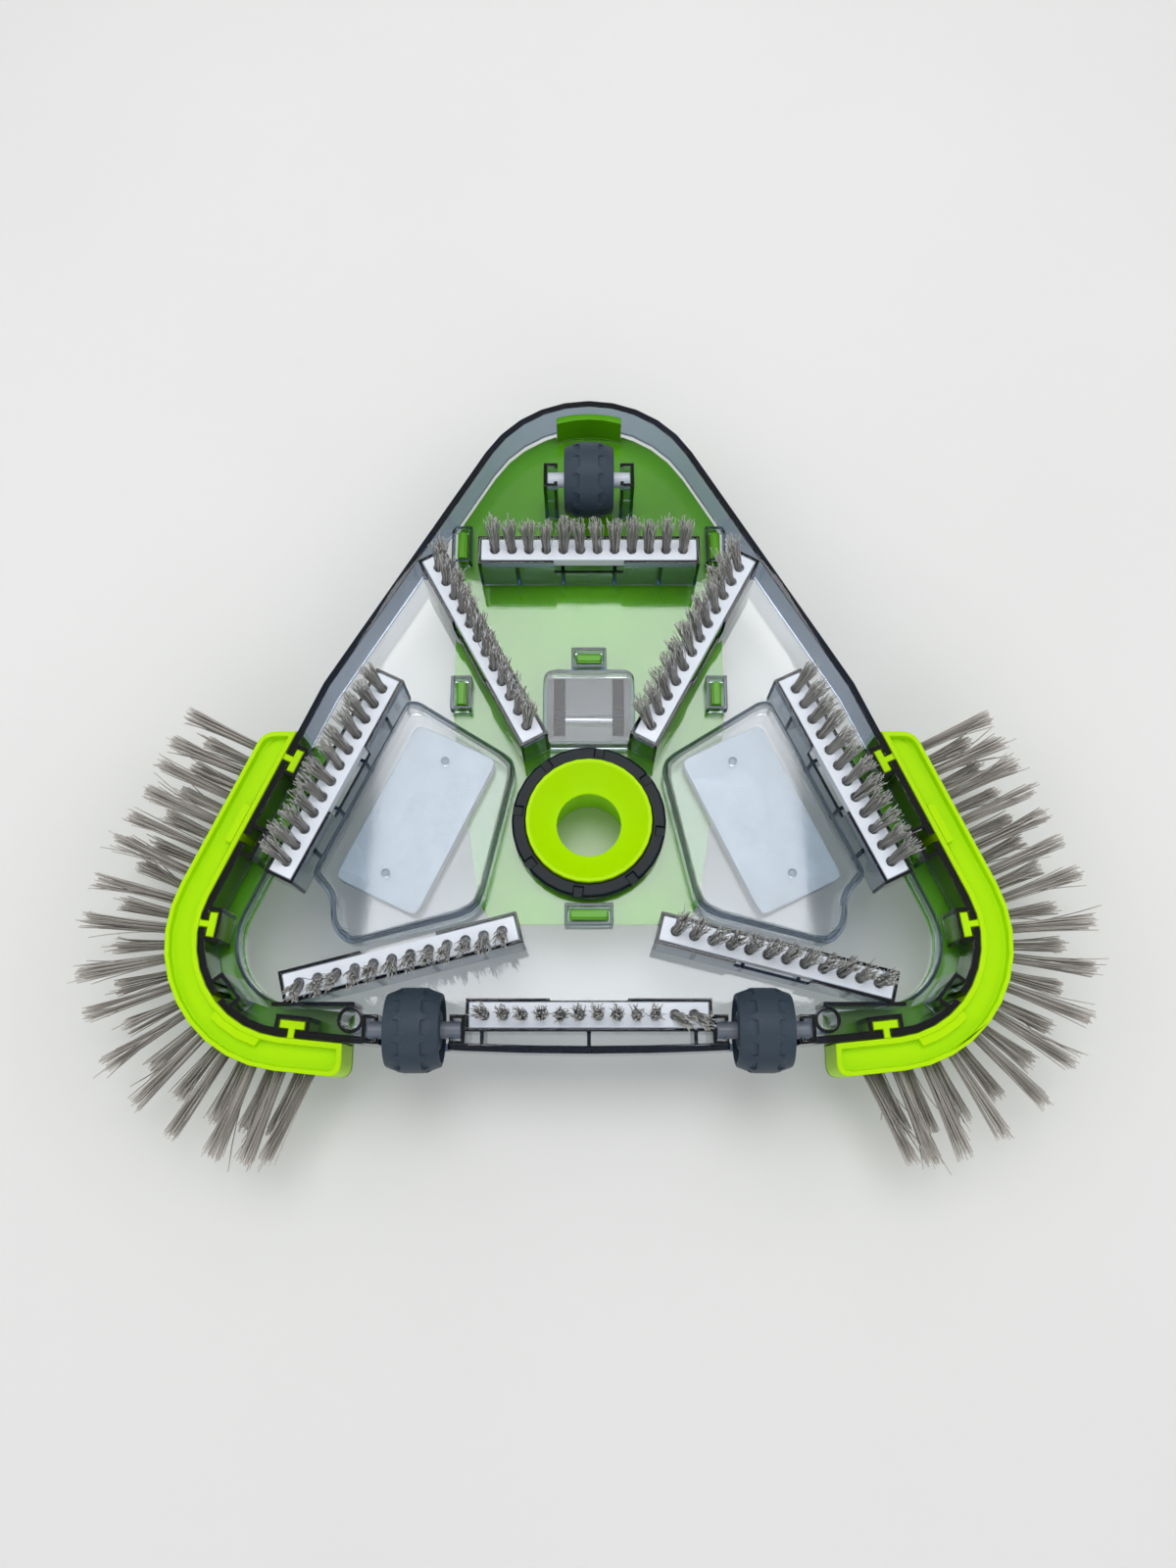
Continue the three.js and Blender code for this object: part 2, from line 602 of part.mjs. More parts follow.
/** A shallow clear box that sits over a window in the floor, with the two ears hanging from its roof. */
function pivotBracket() {
  const box = prism(roundedPolygon([
    [-POCKET_HALF_WIDTH, POCKET_FROM_Y, 2], [POCKET_HALF_WIDTH, POCKET_FROM_Y, 2],
    [POCKET_HALF_WIDTH, POCKET_TO_Y, 6], [-POCKET_HALF_WIDTH, POCKET_TO_Y, 6],
  ]), GAP, POCKET_HEIGHT, 4);
  const strips = [holders.upper_left, holders.upper_right];
  const stripRoom = strips.map((holder) => placed(holderOuter(GAP), holder));
  return joined(cut(box, pocketRoom(), stripRoom), ear(-1), ear(1));
}

// ---------------------------------------------------------------- tray
const STANDING_WALL_TOP = RIM_HEIGHT - 1;

/** Low curved wall inside the right-hand corner. */
function cornerWall() {
  const reach = block(CORNER_X + 8.2, LONG * 2, CORNER_Y - 25.5, CORNER_Y + 30.5, -FLOOR, LONG);
  return cut(
    prism(trayOutline(INNER_WALL_OFFSET), -FLOOR / 2, INNER_WALL_HEIGHT),
    prism(trayOutline(INNER_WALL_OFFSET + RIB), -FLOOR, LONG),
  ).intersect(reach);
}

/** Straight wall in front of the right-hand lower brush. */
function backWall() {
  const to = CORNER_X + 8.7;
  return block(CORNER_X - 25.8, to, CORNER_Y - 29, CORNER_Y - 27.2, -FLOOR / 2, STANDING_WALL_TOP);
}

/** Round post with a blind hole, beside the right-hand wheel's outer clip. */
function roundPost() {
  const place = [CORNER_X - 24.4, CORNER_Y - 34.6];
  return cut(rod('z', 5.6, -FLOOR / 2, STANDING_WALL_TOP, place), rod('z', 4, 0, LONG, place));
}

/** Room for a front wheel where it stands through the tray's front wall. */
function wheelWell() {
  const half = WHEEL_WIDTH / 2 + WHEEL_SIDE_GAP;
  const under = AXLE_Z - WHEEL_RADIUS - 3;
  return block(
    WHEEL_FRONT_X - half, WHEEL_FRONT_X + half, -LONG, frontWheelY + WHEEL_RADIUS, under, LONG,
  );
}

function brushFrame(name) {
  return placed(holderOuter(), holders[name]);
}

/** A right-hand solid and its left-hand copy, by name. */
function namedPair(name, body) {
  return { [`${name}_right`]: body, [`${name}_left`]: mirrored(body) };
}

/** Everything that is cut out of the tray, whichever wall it meets. */
function trayRooms() {
  const stations = SLOT_STATIONS.map(edge);
  return joined(
    bothSides(joined(stations.map(slotRoom), EMPTY_SLOTS.map((i) => capPostHole(stations[i])))),
    Object.values(holders).map((holder) => placed(holderHollow(holder.notchSide), holder)),
    Object.values(sockets).map(socketRoom),
    bothSides(wheelWell()),
    pocketRoom(),
    rod('z', PORT_HOLE_RADIUS, -LONG, LONG, [0, 0], 32),
    apexTongueBlock(GAP + 0.05, -LONG / 2, 1),
  );
}

/** The clear moulding, parted just above its floor so that each standing wall is a piece of its own. */
function tray() {
  const rim = cut(prism(trayOutline(0), -FLOOR, RIM_HEIGHT), prism(trayOutline(RIM_WALL), 0, LONG));
  const frontClips = [wheels.front_left, wheels.front_right].map((wheel) => {
    return [-1, 1].map((side) => wheelClip(wheel, side));
  });
  const holderFront = holders.front.y - seatWidth / 2;
  const frontRibs = [-44, 0, 44].map((x) => {
    return block(x - RIB / 2, x + RIB / 2, frontY(x, RIM_WALL / 2), holderFront, -FLOOR / 2, STANDING_WALL_TOP);
  });
  const standing = {
    tray_body: joined(
      rim, bothSides(joined(SLOT_STATIONS.map(edge).map(slotBlock))), brushFrame('front'),
      frontClips.flat(), frontRibs,
    ),
    brush_frame_apex: brushFrame('apex'),
    ...namedPair('brush_frame_upper', brushFrame('upper_right')),
    ...namedPair('brush_frame_outer', brushFrame('outer_right')),
    ...namedPair('brush_frame_lower', joined(brushFrame('lower_right'), backWall())),
    ...namedPair('apex_wheel_clip', wheelClip(wheels.apex, 1)),
    ...namedPair('corner_wall', cornerWall()),
    ...namedPair('round_post', roundPost()),
    ...namedPair('snap_socket', socketFrame(sockets.side_right)),
    ...namedPair('snap_socket_apex', socketFrame(sockets.apex_right)),
    snap_socket_pivot: socketFrame(sockets.pivot),
    snap_socket_front: socketFrame(sockets.front),
    port_neck: turned([
      [NECK_RADIUS, -FLOOR / 2], [NECK_RADIUS + NECK_WALL, -FLOOR / 2],
      [NECK_RADIUS + NECK_WALL, NECK_HEIGHT], [NECK_RADIUS, NECK_HEIGHT],
    ]),
  };
  const rooms = trayRooms();
  const pieces = { tray_floor: cut(prism(trayOutline(0), -FLOOR, 0), rooms) };
  const insideRim = prism(trayOutline(RIM_WALL + GAP), GAP, LONG);
  for (const [name, body] of Object.entries(standing)) {
    const above = name === 'tray_body' ? prism(trayOutline(0), GAP, LONG) : insideRim;
    pieces[name] = cut(body.intersect(above), rooms);
  }
  return pieces;
}

// ---------------------------------------------------------------- lime cover and corner caps
function topCover() {
  const end = APEX_CENTRE_Y + APEX_RADIUS;
  const shield = prism(roundedPolygon([
    [-COVER_HALF_WIDTH, 50, 12], [-47, -44.5, 14], [47, -44.5, 14], [COVER_HALF_WIDTH, 50, 12],
    [COVER_HALF_WIDTH, end, 1], [-COVER_HALF_WIDTH, end, 1],
  ]), coverBottom, coverTop);
  const plate = shield.intersect(prism(trayOutline(COVER_INSET), coverBottom - 1, 0));
  const apexPatch = apexTongueBlock(0, coverBottom, coverTop);
  const apexTongue = apexTongueBlock(0, coverBottom + 0.5, APEX_TONGUE.height);
  const windowHalf = POCKET_HALF_WIDTH - POCKET_WALL;
  const window = block(-windowHalf, windowHalf, POCKET_FROM_Y + 1.5, POCKET_TO_Y - 1, -LONG, LONG);
  const opening = rod('z', PORT_HOLE_RADIUS + 1, -LONG, LONG, [0, 0], 32);
  return joined(cut(plate, window, opening), apexPatch, apexTongue, Object.values(sockets).map(snapTongue));
}

function cornerCap() {
  const outline = cornerBand(INNER_WALL_OFFSET + RIB, -GAP - CARRIER_WIDTH, 0, CARRIER_END_RADIUS);
  const band = prism(outline, coverBottom, coverTop);
  return joined(band, EMPTY_SLOTS.map((i) => capPost(edge(SLOT_STATIONS[i]))));
}

// ---------------------------------------------------------------- weights
/** Pod outline about the plate's middle: u along the plate, v across it, each set off from the plate's edge. */
const podCorners = [
  { u: -8.9, v: 3.7, end: -1, side: 1, radius: 2.4 },
  { u: -2.9, v: -9.3, end: -1, side: -1, radius: 7 },
  { u: -13.3, v: -24.4, end: 1, side: -1, radius: 9 },
  { u: 24.2, v: -19.7, end: 1, side: 1, radius: 5.5 },
  { u: 19.4, v: -9.7, end: 1, side: 1, radius: 4 },
  { u: 7.7, v: -2.9, end: 1, side: 1, radius: 5.5 },
  { u: 3.9, v: 8.8, end: 1, side: 1, radius: 4 },
  { u: -6.6, v: 8.4, end: -1, side: 1, radius: 2 },
];

/** The tray's point at u along and v across the right-hand weight plate. */
function onPlate(u, v) {
  const turn = radians(PLATE_ANGLE);
  const x = PLATE_X + u * Math.cos(turn) + v * Math.sin(turn);
  const y = PLATE_Y - u * Math.sin(turn) + v * Math.cos(turn);
  return [x, y];
}

function podOutline(shrink) {
  return roundedPolygon(podCorners.map(({ u, v, end, side, radius }) => {
    const corner = new THREE.Vector2(u + (end * PLATE_LENGTH) / 2, v + (side * PLATE_WIDTH) / 2);
    corner.setLength(corner.length() - shrink);
    return [...onPlate(corner.x, corner.y), radius];
  }));
}

/** A clear shell over the plate, with two pins that hold the plate down. */
function weightCover() {
  const step = 1.6;
  const podTop = PLATE_THICKNESS + POD_HEADROOM;
  const wallPart = prism(podOutline(0), GAP, podTop - step, 3);
  const topPart = prism(podOutline(step), podTop - step - 0.5, podTop, 3);
  const room = prism(podOutline(POD_WALL + 1.2), -1, podTop - POD_WALL, 3);
  const pins = [-1, 1].map((side) => {
    const place = onPlate((side * POD_PIN_SPACING) / 2, 0);
    return rod('z', POD_PIN_RADIUS, PLATE_THICKNESS + 2 * GAP, podTop - 1, place, 12);
  });
  return joined(cut(joined(wallPart, topPart), room), pins);
}

function weightPlate() {
  const place = { x: PLATE_X, y: PLATE_Y, angle: -PLATE_ANGLE };
  const shape = roundedPolygon([
    [-PLATE_LENGTH / 2, -PLATE_WIDTH / 2, PLATE_CORNER], [PLATE_LENGTH / 2, -PLATE_WIDTH / 2, PLATE_CORNER],
    [PLATE_LENGTH / 2, PLATE_WIDTH / 2, PLATE_CORNER], [-PLATE_LENGTH / 2, PLATE_WIDTH / 2, PLATE_CORNER],
  ]);
  return placed(prism(shape, GAP, GAP + PLATE_THICKNESS, 3), place);
}

// ---------------------------------------------------------------- hose port
const sealTop = GAP + SEAL;
const flangeBottom = sealTop + GAP;
const flangeTop = flangeBottom + FLANGE;

function swivelSeal() {
  return turned([[27.5, GAP], [NECK_RADIUS - GAP, GAP], [NECK_RADIUS - GAP, sealTop], [27.5, sealTop]]);
}

function hoseConnector() {
  const journal = PORT_HOLE_RADIUS - 0.4;
  return turned([
    [CUP_RADIUS - 1.6, CUP_TOP], [CUP_RADIUS, CUP_TOP],
    [CUP_RADIUS, flangeTop], [NECK_RADIUS - GAP, flangeTop], [NECK_RADIUS - GAP, flangeBottom],
    [journal, flangeBottom], [journal, coverBottom], [SPIGOT_RADIUS, SHOULDER_Z],
    [SPIGOT_RADIUS, REST_Z], [SPIGOT_BORE, REST_Z], [SPIGOT_BORE, THROAT_Z - 3],
    [THROAT_RADIUS, THROAT_Z], [THROAT_RADIUS, STEP_Z - 2.7], [STEP_RADIUS, STEP_Z],
  ]);
}

function hoseLockRing() {
  const outer = NECK_RADIUS + NECK_WALL + GAP;
  const ring = turned([
    [CUP_RADIUS + 0.4, flangeTop + GAP], [NECK_RADIUS - GAP, flangeTop + GAP],
    [NECK_RADIUS - GAP, NECK_HEIGHT + GAP], [outer, NECK_HEIGHT + GAP], [outer, GAP], [RING_RADIUS, GAP],
    [RING_RADIUS, RING_TOP - 1], [RING_RADIUS - 0.8, RING_TOP], [CUP_RADIUS + 0.4, RING_TOP],
  ]);
  const notches = [];
  for (let i = 0; i < RING_NOTCHES; i += 1) {
    const notch = block(29.6, LONG, -2.1, 2.1, RING_TOP - 1.5, LONG);
    notches.push(notch.rotate([0, 0, RING_NOTCH_START + (360 / RING_NOTCHES) * i]));
  }
  return cut(ring, notches);
}

// ---------------------------------------------------------------- pole handle, made about its pivot
const armInner = EAR_X + EAR_THICKNESS / 2 + ARM_GAP;
const armOuter = armInner + ARM_THICKNESS;
const armHalf = 10.5;                // height of the arms and root, half

function armShape() {
  const shape = new THREE.Shape();
  shape.absarc(0, 0, eyeRadius + 0.5, Math.PI / 2, Math.PI * 1.5, false);
  shape.lineTo(TUBE_START - 4, -armHalf);
  shape.lineTo(TUBE_START + 6, -armHalf);
  shape.lineTo(TUBE_START + 6, armHalf);
  shape.lineTo(TUBE_START - 4, armHalf);
  shape.closePath();
  return shape;
}

/** Two arms beside the ears, a root block that joins them, and the tube that enters the pole. */
function poleHandle() {
  const arms = [-1, 1].map((side) => {
    const plate = prism(armShape(), -ARM_THICKNESS / 2, ARM_THICKNESS / 2, 6).rotate([90, 0, 90]);
    return plate.translate([(side * (armInner + armOuter)) / 2, 0, 0]);
  });
  const root = block(-armInner - 1, armInner + 1, TUBE_START - 4, TUBE_START + 6, -armHalf, armHalf);
  const tube = rod('y', TUBE_RADIUS, TUBE_START, HANDLE_LENGTH, [0, 0], 24);
  const endBead = rod('y', tubeReach, HANDLE_LENGTH - 4, HANDLE_LENGTH, [0, 0], 24);
  return cut(
    joined(arms, root, tube, endBead),
    rod('y', TUBE_BORE, TUBE_START + 10, LONG, [0, 0], 24),
    rod('x', PIN_RADIUS + GAP, -LONG, LONG, [0, 0]),
    rod('x', BUTTON_RADIUS + GAP, -LONG, LONG, [BUTTON_Y, 0]),
  );
}

const SHANK_RADIUS = 2;
const LEG_X = 5.6;                   // middle of a spring leg at the button
const springStart = TUBE_START + 10 + GAP;

/** A V of spring strip: its bend sits at the closed end of the bore, its legs carry the buttons. */
function clipSpring() {
  const half = SPRING_THICKNESS / 2;
  const shape = new THREE.Shape();
  shape.moveTo(-1.6, springStart);
  shape.lineTo(1.6, springStart);
  shape.lineTo(LEG_X + half, BUTTON_Y - 8);
  shape.lineTo(LEG_X + half, BUTTON_Y + 7);
  shape.lineTo(LEG_X - half, BUTTON_Y + 7);
  shape.lineTo(LEG_X - half, BUTTON_Y - 8);
  shape.lineTo(1, springStart + SPRING_THICKNESS);
  shape.lineTo(-1, springStart + SPRING_THICKNESS);
  shape.lineTo(-LEG_X + half, BUTTON_Y - 8);
  shape.lineTo(-LEG_X + half, BUTTON_Y + 7);
  shape.lineTo(-LEG_X - half, BUTTON_Y + 7);
  shape.lineTo(-LEG_X - half, BUTTON_Y - 8);
  shape.closePath();
  const strip = prism(shape, -SPRING_WIDTH / 2, SPRING_WIDTH / 2);
  return cut(strip, rod('x', SHANK_RADIUS + GAP, -LONG, LONG, [BUTTON_Y, 0], 12));
}

/** A button: a round nose that stands out of the tube, and a shank through the spring's leg. */
function clipButton(side) {
  const foot = TUBE_BORE - 0.7;
  const tip = TUBE_RADIUS + 3.2;
  const nose = turned([
    [0, foot], [BUTTON_RADIUS, foot], [BUTTON_RADIUS, tip - 1], [BUTTON_RADIUS - 0.9, tip], [0, tip],
  ], 16);
  const shank = rod('z', SHANK_RADIUS, LEG_X - SPRING_THICKNESS / 2 - 0.7, foot + 0.4, [0, 0], 12);
  return joined(nose, shank).rotate([0, side * 90, 0]).translate([0, BUTTON_Y, 0]);
}

function pivotPin() {
  const half = armOuter;
  return turned([
    [0, -half - 1.8], [PIN_RADIUS + 1, -half - 1.8], [PIN_RADIUS + 1.5, -half - GAP],
    [PIN_RADIUS, -half - GAP], [PIN_RADIUS, half + GAP], [PIN_RADIUS + 1.5, half + GAP],
    [PIN_RADIUS + 1, half + 1.8], [0, half + 1.8],
  ], 16).rotate([0, 90, 0]);
}

// ---------------------------------------------------------------- side brushes (right hand)
const carrierInner = -GAP;
const carrierOuter = -GAP - CARRIER_WIDTH;
const cavityInner = carrierInner - CARRIER_WALL;
const cavityOuter = carrierOuter + CARRIER_WALL;

/** Directions and feet of the tufts of one row, along the carrier's outer face. */
function tuftStations({ count }, shift) {
  const stations = [];
  for (let i = 0; i < count; i += 1) {
    const foot = cornerStation(SIDE_TUFT_START + (i + shift) * SIDE_TUFT_PITCH, carrierOuter);
    const lean = Math.max(0, i + shift - 12.5) * radians(7.5);
    stations.push({ ...foot, angle: foot.angle + lean });
  }
  return stations;
}

function tuftRow(row, shift, radius, from, to) {
  return tuftStations(row, shift).map((station) => {
    return atStation(rod('x', radius, from, to, [0, row.z], TUFT_SIDES), station);
  });
}

/** A stretch of the carrier's inner edge that is thicker, where the carrier is gripped to lift it off. */
function carrierLip([from, to]) {
  const inside = carrierInner - RECESS_WALL;
  const outline = cornerBand(inside + RECESS_WALL / 2, inside - CARRIER_LIP, 0, 1);
  const band = prism(outline, CARRIER_HEIGHT - RECESS_DEPTH - GAP, CARRIER_HEIGHT - 0.6, 5);
  const middle = edge((from + to) / 2);
  const half = (to - from) / 2;
  return band.intersect(atStation(block(-LONG, LONG, -half, half, 0, LONG), middle));
}

function sideCarrier() {
  const bottom = coverTop + GAP;
  const body = prism(cornerBand(carrierInner, carrierOuter, 0, CARRIER_END_RADIUS), bottom, CARRIER_HEIGHT, 5);
  const inside = cornerBand(carrierInner - RECESS_WALL, carrierOuter + 2, RECESS_WALL, CARRIER_END_RADIUS - 2);
  const recess = prism(inside, CARRIER_HEIGHT - RECESS_DEPTH, LONG, 5);
  const cavity = prism(cornerBand(cavityInner, cavityOuter, CARRIER_WALL, 3), -LONG, CARRIER_WEB_Z, 5);
  const holes = [NEAR_ROW, FAR_ROW].map((row, i) => {
    return tuftRow(row, i / 2, SIDE_TUFT_RADIUS + GAP + 0.1, -CARRIER_WALL - 2, CARRIER_WALL);
  });
  const tongues = FILLED_SLOTS.map((i) => tongue(edge(SLOT_STATIONS[i])));
  return joined(cut(body, recess, cavity, ...holes), LIPS.map(carrierLip), tongues);
}

function sideBristles() {
  const outer = cavityOuter + GAP;
  const backing = prism(cornerBand(outer + BACKING, outer, CARRIER_WALL + GAP, 2.6), GAP, CARRIER_WEB_Z - GAP, 5);
  const inward = -CARRIER_WALL - GAP - BACKING / 2;
  return joined(
    backing,
    tuftRow(NEAR_ROW, 0, SIDE_TUFT_RADIUS, inward, NEAR_ROW.length),
    tuftRow(FAR_ROW, 0.5, SIDE_TUFT_RADIUS, inward, FAR_ROW.length),
  );
}

// ---------------------------------------------------------------- assembly
const head = new THREE.Group();

for (const [name, body] of Object.entries(tray())) head.add(part(name, body, smoke()));
head.add(part('pivot_bracket', pivotBracket(), smoke()));
head.add(part('top_cover', topCover(), lime()));
head.add(part('hose_connector', hoseConnector(), lime()));
head.add(part('swivel_seal', swivelSeal(), blackRubber()));
head.add(part('hose_lock_ring', hoseLockRing(), darkPlastic()));

const rightHand = {
  corner_cap: [cornerCap(), lime],
  weight_cover: [weightCover(), smoke],
  weight_plate: [weightPlate(), steel],
  side_brush_carrier: [sideCarrier(), lime],
  side_bristles: [sideBristles(), nylon],
};
for (const [name, [body, material]] of Object.entries(rightHand)) {
  head.add(part(`${name}_right`, body, material()));
  head.add(part(`${name}_left`, mirrored(body), material()));
}

const strip = brushStrip();
for (const [name, { x, y, angle }] of Object.entries(holders)) {
  const mesh = part(`brush_strip_${name}`, strip, white());
  mesh.position.set(x, y, 0);
  mesh.rotation.z = radians(angle);
  head.add(mesh);
}

const roller = wheel();
const shaft = axle();
for (const [name, { x, y }] of Object.entries(wheels)) {
  const wheelMesh = part(`wheel_${name}`, roller, slate());
  const axleMesh = part(`axle_${name}`, shaft, white());
  wheelMesh.position.set(x, y, AXLE_Z);
  axleMesh.position.set(x, y, AXLE_Z);
  head.add(wheelMesh, axleMesh);
}

const handle = new THREE.Group();
handle.position.set(0, PIVOT_Y, PIVOT_Z);
handle.add(part('pole_handle', poleHandle(), darkPlastic()));
handle.add(part('handle_pivot_pin', pivotPin(), steel()));
handle.add(part('handle_clip_spring', clipSpring(), steel()));
handle.add(part('clip_button_right', clipButton(1), darkPlastic()));
handle.add(part('clip_button_left', clipButton(-1), darkPlastic()));
head.add(handle);

// the origin is the middle of the underside of the whole object's box
head.updateMatrixWorld(true);
const extent = new THREE.Box3().setFromObject(head);
const middle = extent.getCenter(new THREE.Vector3());
head.position.set(-middle.x, -middle.y, -extent.min.z);

export default head;
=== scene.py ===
# %% [markdown]
# # A manual vacuum head for a pool
# The head is a flat three-cornered tray of smoke-clear plastic that is pushed over the pool's floor on a
# pole. Water is drawn up through the lime funnel in its middle. Brush strips, rollers and two corner
# brushes stand out of the tray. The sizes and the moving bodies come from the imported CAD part, which is
# loaded first and never moved: everything here only gives it its looks.

import json
import math

import bmesh
import bpy
import numpy as np
from mathutils import Matrix, Vector


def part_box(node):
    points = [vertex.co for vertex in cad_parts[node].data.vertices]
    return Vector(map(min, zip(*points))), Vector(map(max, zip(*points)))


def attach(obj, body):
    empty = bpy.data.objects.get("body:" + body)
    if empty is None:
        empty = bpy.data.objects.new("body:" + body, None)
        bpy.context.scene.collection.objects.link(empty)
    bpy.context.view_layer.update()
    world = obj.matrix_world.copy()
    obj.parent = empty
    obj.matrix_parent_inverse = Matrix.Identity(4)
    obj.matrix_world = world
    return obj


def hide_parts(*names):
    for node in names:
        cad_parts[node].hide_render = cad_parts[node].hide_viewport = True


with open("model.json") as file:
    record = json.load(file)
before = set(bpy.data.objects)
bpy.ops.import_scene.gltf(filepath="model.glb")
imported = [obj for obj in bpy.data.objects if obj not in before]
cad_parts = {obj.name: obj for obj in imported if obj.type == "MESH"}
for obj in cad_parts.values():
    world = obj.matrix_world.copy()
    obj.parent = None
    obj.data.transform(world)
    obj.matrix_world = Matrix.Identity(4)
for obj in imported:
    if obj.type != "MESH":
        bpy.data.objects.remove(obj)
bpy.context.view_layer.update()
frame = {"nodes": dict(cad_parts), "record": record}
MM = 0.001

# %% [markdown]
# ## The viewpoint
# The head lies on a table and is looked at from almost straight above, a little from its front. The
# camera is placed from the hose port, because the port is the middle of the design.

# %% Camera
CAMERA_FROM_PORT = Vector((-0.4, -123.2, 513.0)) * MM
CAMERA_TILT = 15.5    # degrees away from straight down
PLATE_GAP = 0.3 * MM  # the weight plates lie this far above the tray's floor

funnel_low, funnel_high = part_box("hose_connector")
floor_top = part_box("weight_plate_left")[0].z - PLATE_GAP
port = Vector(((funnel_low.x + funnel_high.x) / 2, (funnel_low.y + funnel_high.y) / 2, floor_top))
print("hose port at", [round(v / MM, 1) for v in port])

camera = bpy.data.objects.new("camera", bpy.data.cameras.new("camera"))
bpy.context.scene.collection.objects.link(camera)
bpy.context.scene.camera = camera
camera.location = port + CAMERA_FROM_PORT
camera.rotation_euler = (math.radians(CAMERA_TILT), 0, 0)
camera.data.sensor_width = 36
camera.data.lens = 27.05
camera.data.clip_start = 0.01

# %% [markdown]
# ## Table and light
# A bright panel hangs over the table. It is mirrored in the clear floor of the tray everywhere but at the
# far tip, so the tip looks deep green and the rest looks pale. Four large, weaker panels light the head
# from its sides, and a dim sky fills the shadows.

# %% Table
def linked(name, data):
    made = bpy.data.objects.new(name, data)
    bpy.context.scene.collection.objects.link(made)
    return made


def mesh_from(name, bm):
    mesh = bpy.data.meshes.new(name)
    bm.to_mesh(mesh)
    bm.free()
    return mesh


TABLE_REACH = 5  # metres from the middle of the table to its edge

bm = bmesh.new()
bmesh.ops.create_grid(bm, x_segments=1, y_segments=1, size=TABLE_REACH)
table = linked("table", mesh_from("table", bm))

# %% Lamps
def panel(name, centre, aim, width, depth, radiance):
    """A rectangular lamp; its power follows from how bright its face should look."""
    light = bpy.data.lights.new(name, "AREA")
    light.shape = "RECTANGLE"
    light.size, light.size_y = width, depth
    light.energy = radiance * math.pi * width * depth
    lamp = linked(name, light)
    lamp.location = centre
    lamp.rotation_euler = (Vector(aim) - Vector(centre)).to_track_quat("-Z", "Y").to_euler()
    print(name, "gives", round(light.energy, 1), "W")


panel("ceiling_window", (0, 0.4, 1.5), (0, 0.4, 0), 0.74, 0.76, 4.3)
panel("back_softbox", (0, 1.6, 1.2), (0, 0, 0), 1.8, 1.1, 0.35)
panel("front_softbox", (0, -1.5, 1.25), (0, 0, 0), 1.8, 1.2, 1.0)
for side in (-1, 1):
    panel(f"side_softbox_{side}", (side * 1.5, 0.1, 1.3), (0, 0, 0), 1.6, 1.2, 1.3)

world = bpy.data.worlds.new("studio")
world.use_nodes = True
sky = world.node_tree.nodes["Background"].inputs
sky["Color"].default_value = (0.96, 0.98, 1.0, 1)
sky["Strength"].default_value = 0.42
bpy.context.scene.world = world
bpy.context.scene.view_settings.view_transform = "Standard"

# %% [markdown]
# ## Wiring nodes
# Materials and geometry trees are both node trees. A small helper adds a node, sets its options and
# joins its inputs, so that the trees below read like formulas.

# %% Wiring helper
class Wiring:
    """Adds nodes to one tree. An input is a plain value, or an output socket to be linked."""

    def __init__(self, tree):
        self.tree = tree

    def add(self, kind, inputs=None, **settings):
        node = self.tree.nodes.new(kind)
        for name, value in settings.items():
            setattr(node, name, value)
        for key, value in (inputs or {}).items():
            if isinstance(value, bpy.types.NodeSocket):
                self.tree.links.new(value, node.inputs[key])
            else:
                node.inputs[key].default_value = value
        return node

    def math(self, operation, *values):
        return self.add("ShaderNodeMath", dict(enumerate(values)), operation=operation).outputs[0]

    def vector(self, operation, *values):
        return self.add("ShaderNodeVectorMath", dict(enumerate(values)), operation=operation).outputs[0]

    def scaled(self, vector, factor):
        return self.add("ShaderNodeVectorMath", {0: vector, 3: factor}, operation="SCALE").outputs[0]

    def summed(self, first, *others):
        total = first
        for other in others:
            total = self.vector("ADD", total, other)
        return total

    def remap(self, value, from_low, from_high, to_low, to_high):
        places = {0: value, 1: from_low, 2: from_high, 3: to_low, 4: to_high}
        return self.add("ShaderNodeMapRange", places).outputs[0]

    def blend(self, amount, first, second, mode="MIX"):
        inputs = {0: amount, 6: first, 7: second}
        return self.add("ShaderNodeMix", inputs, data_type="RGBA", blend_type=mode).outputs[2]

    def noise(self, point, scale, detail=3.0, roughness=0.5):
        inputs = {"Vector": point, "Scale": scale, "Detail": detail, "Roughness": roughness}
        return self.add("ShaderNodeTexNoise", inputs).outputs[0]


def sockets(tree, direction, kinds):
    """Makes a tree's named sockets; a value after the kind becomes the default."""
    for name, (kind, *default) in kinds.items():
        made = tree.interface.new_socket(name, in_out=direction, socket_type="NodeSocket" + kind)
        if default:
            made.default_value = default[0]


# %% [markdown]
# ## Effects that several finishes share
# Moulded plastic is never quite even: its tone drifts where it cooled, its skin has a fine grain, and
# handling leaves dust and faint rubs. Each effect is a node group that only puts out colours, masks and
# heights, and every material places it with its own values.

# %% Moulded skin
def effect_group(name, inputs, outputs):
    tree = bpy.data.node_groups.new(name, "ShaderNodeTree")
    sockets(tree, "INPUT", inputs)
    sockets(tree, "OUTPUT", outputs)
    wires = Wiring(tree)
    return tree, wires, wires.add("NodeGroupInput").outputs, wires.add("NodeGroupOutput").inputs


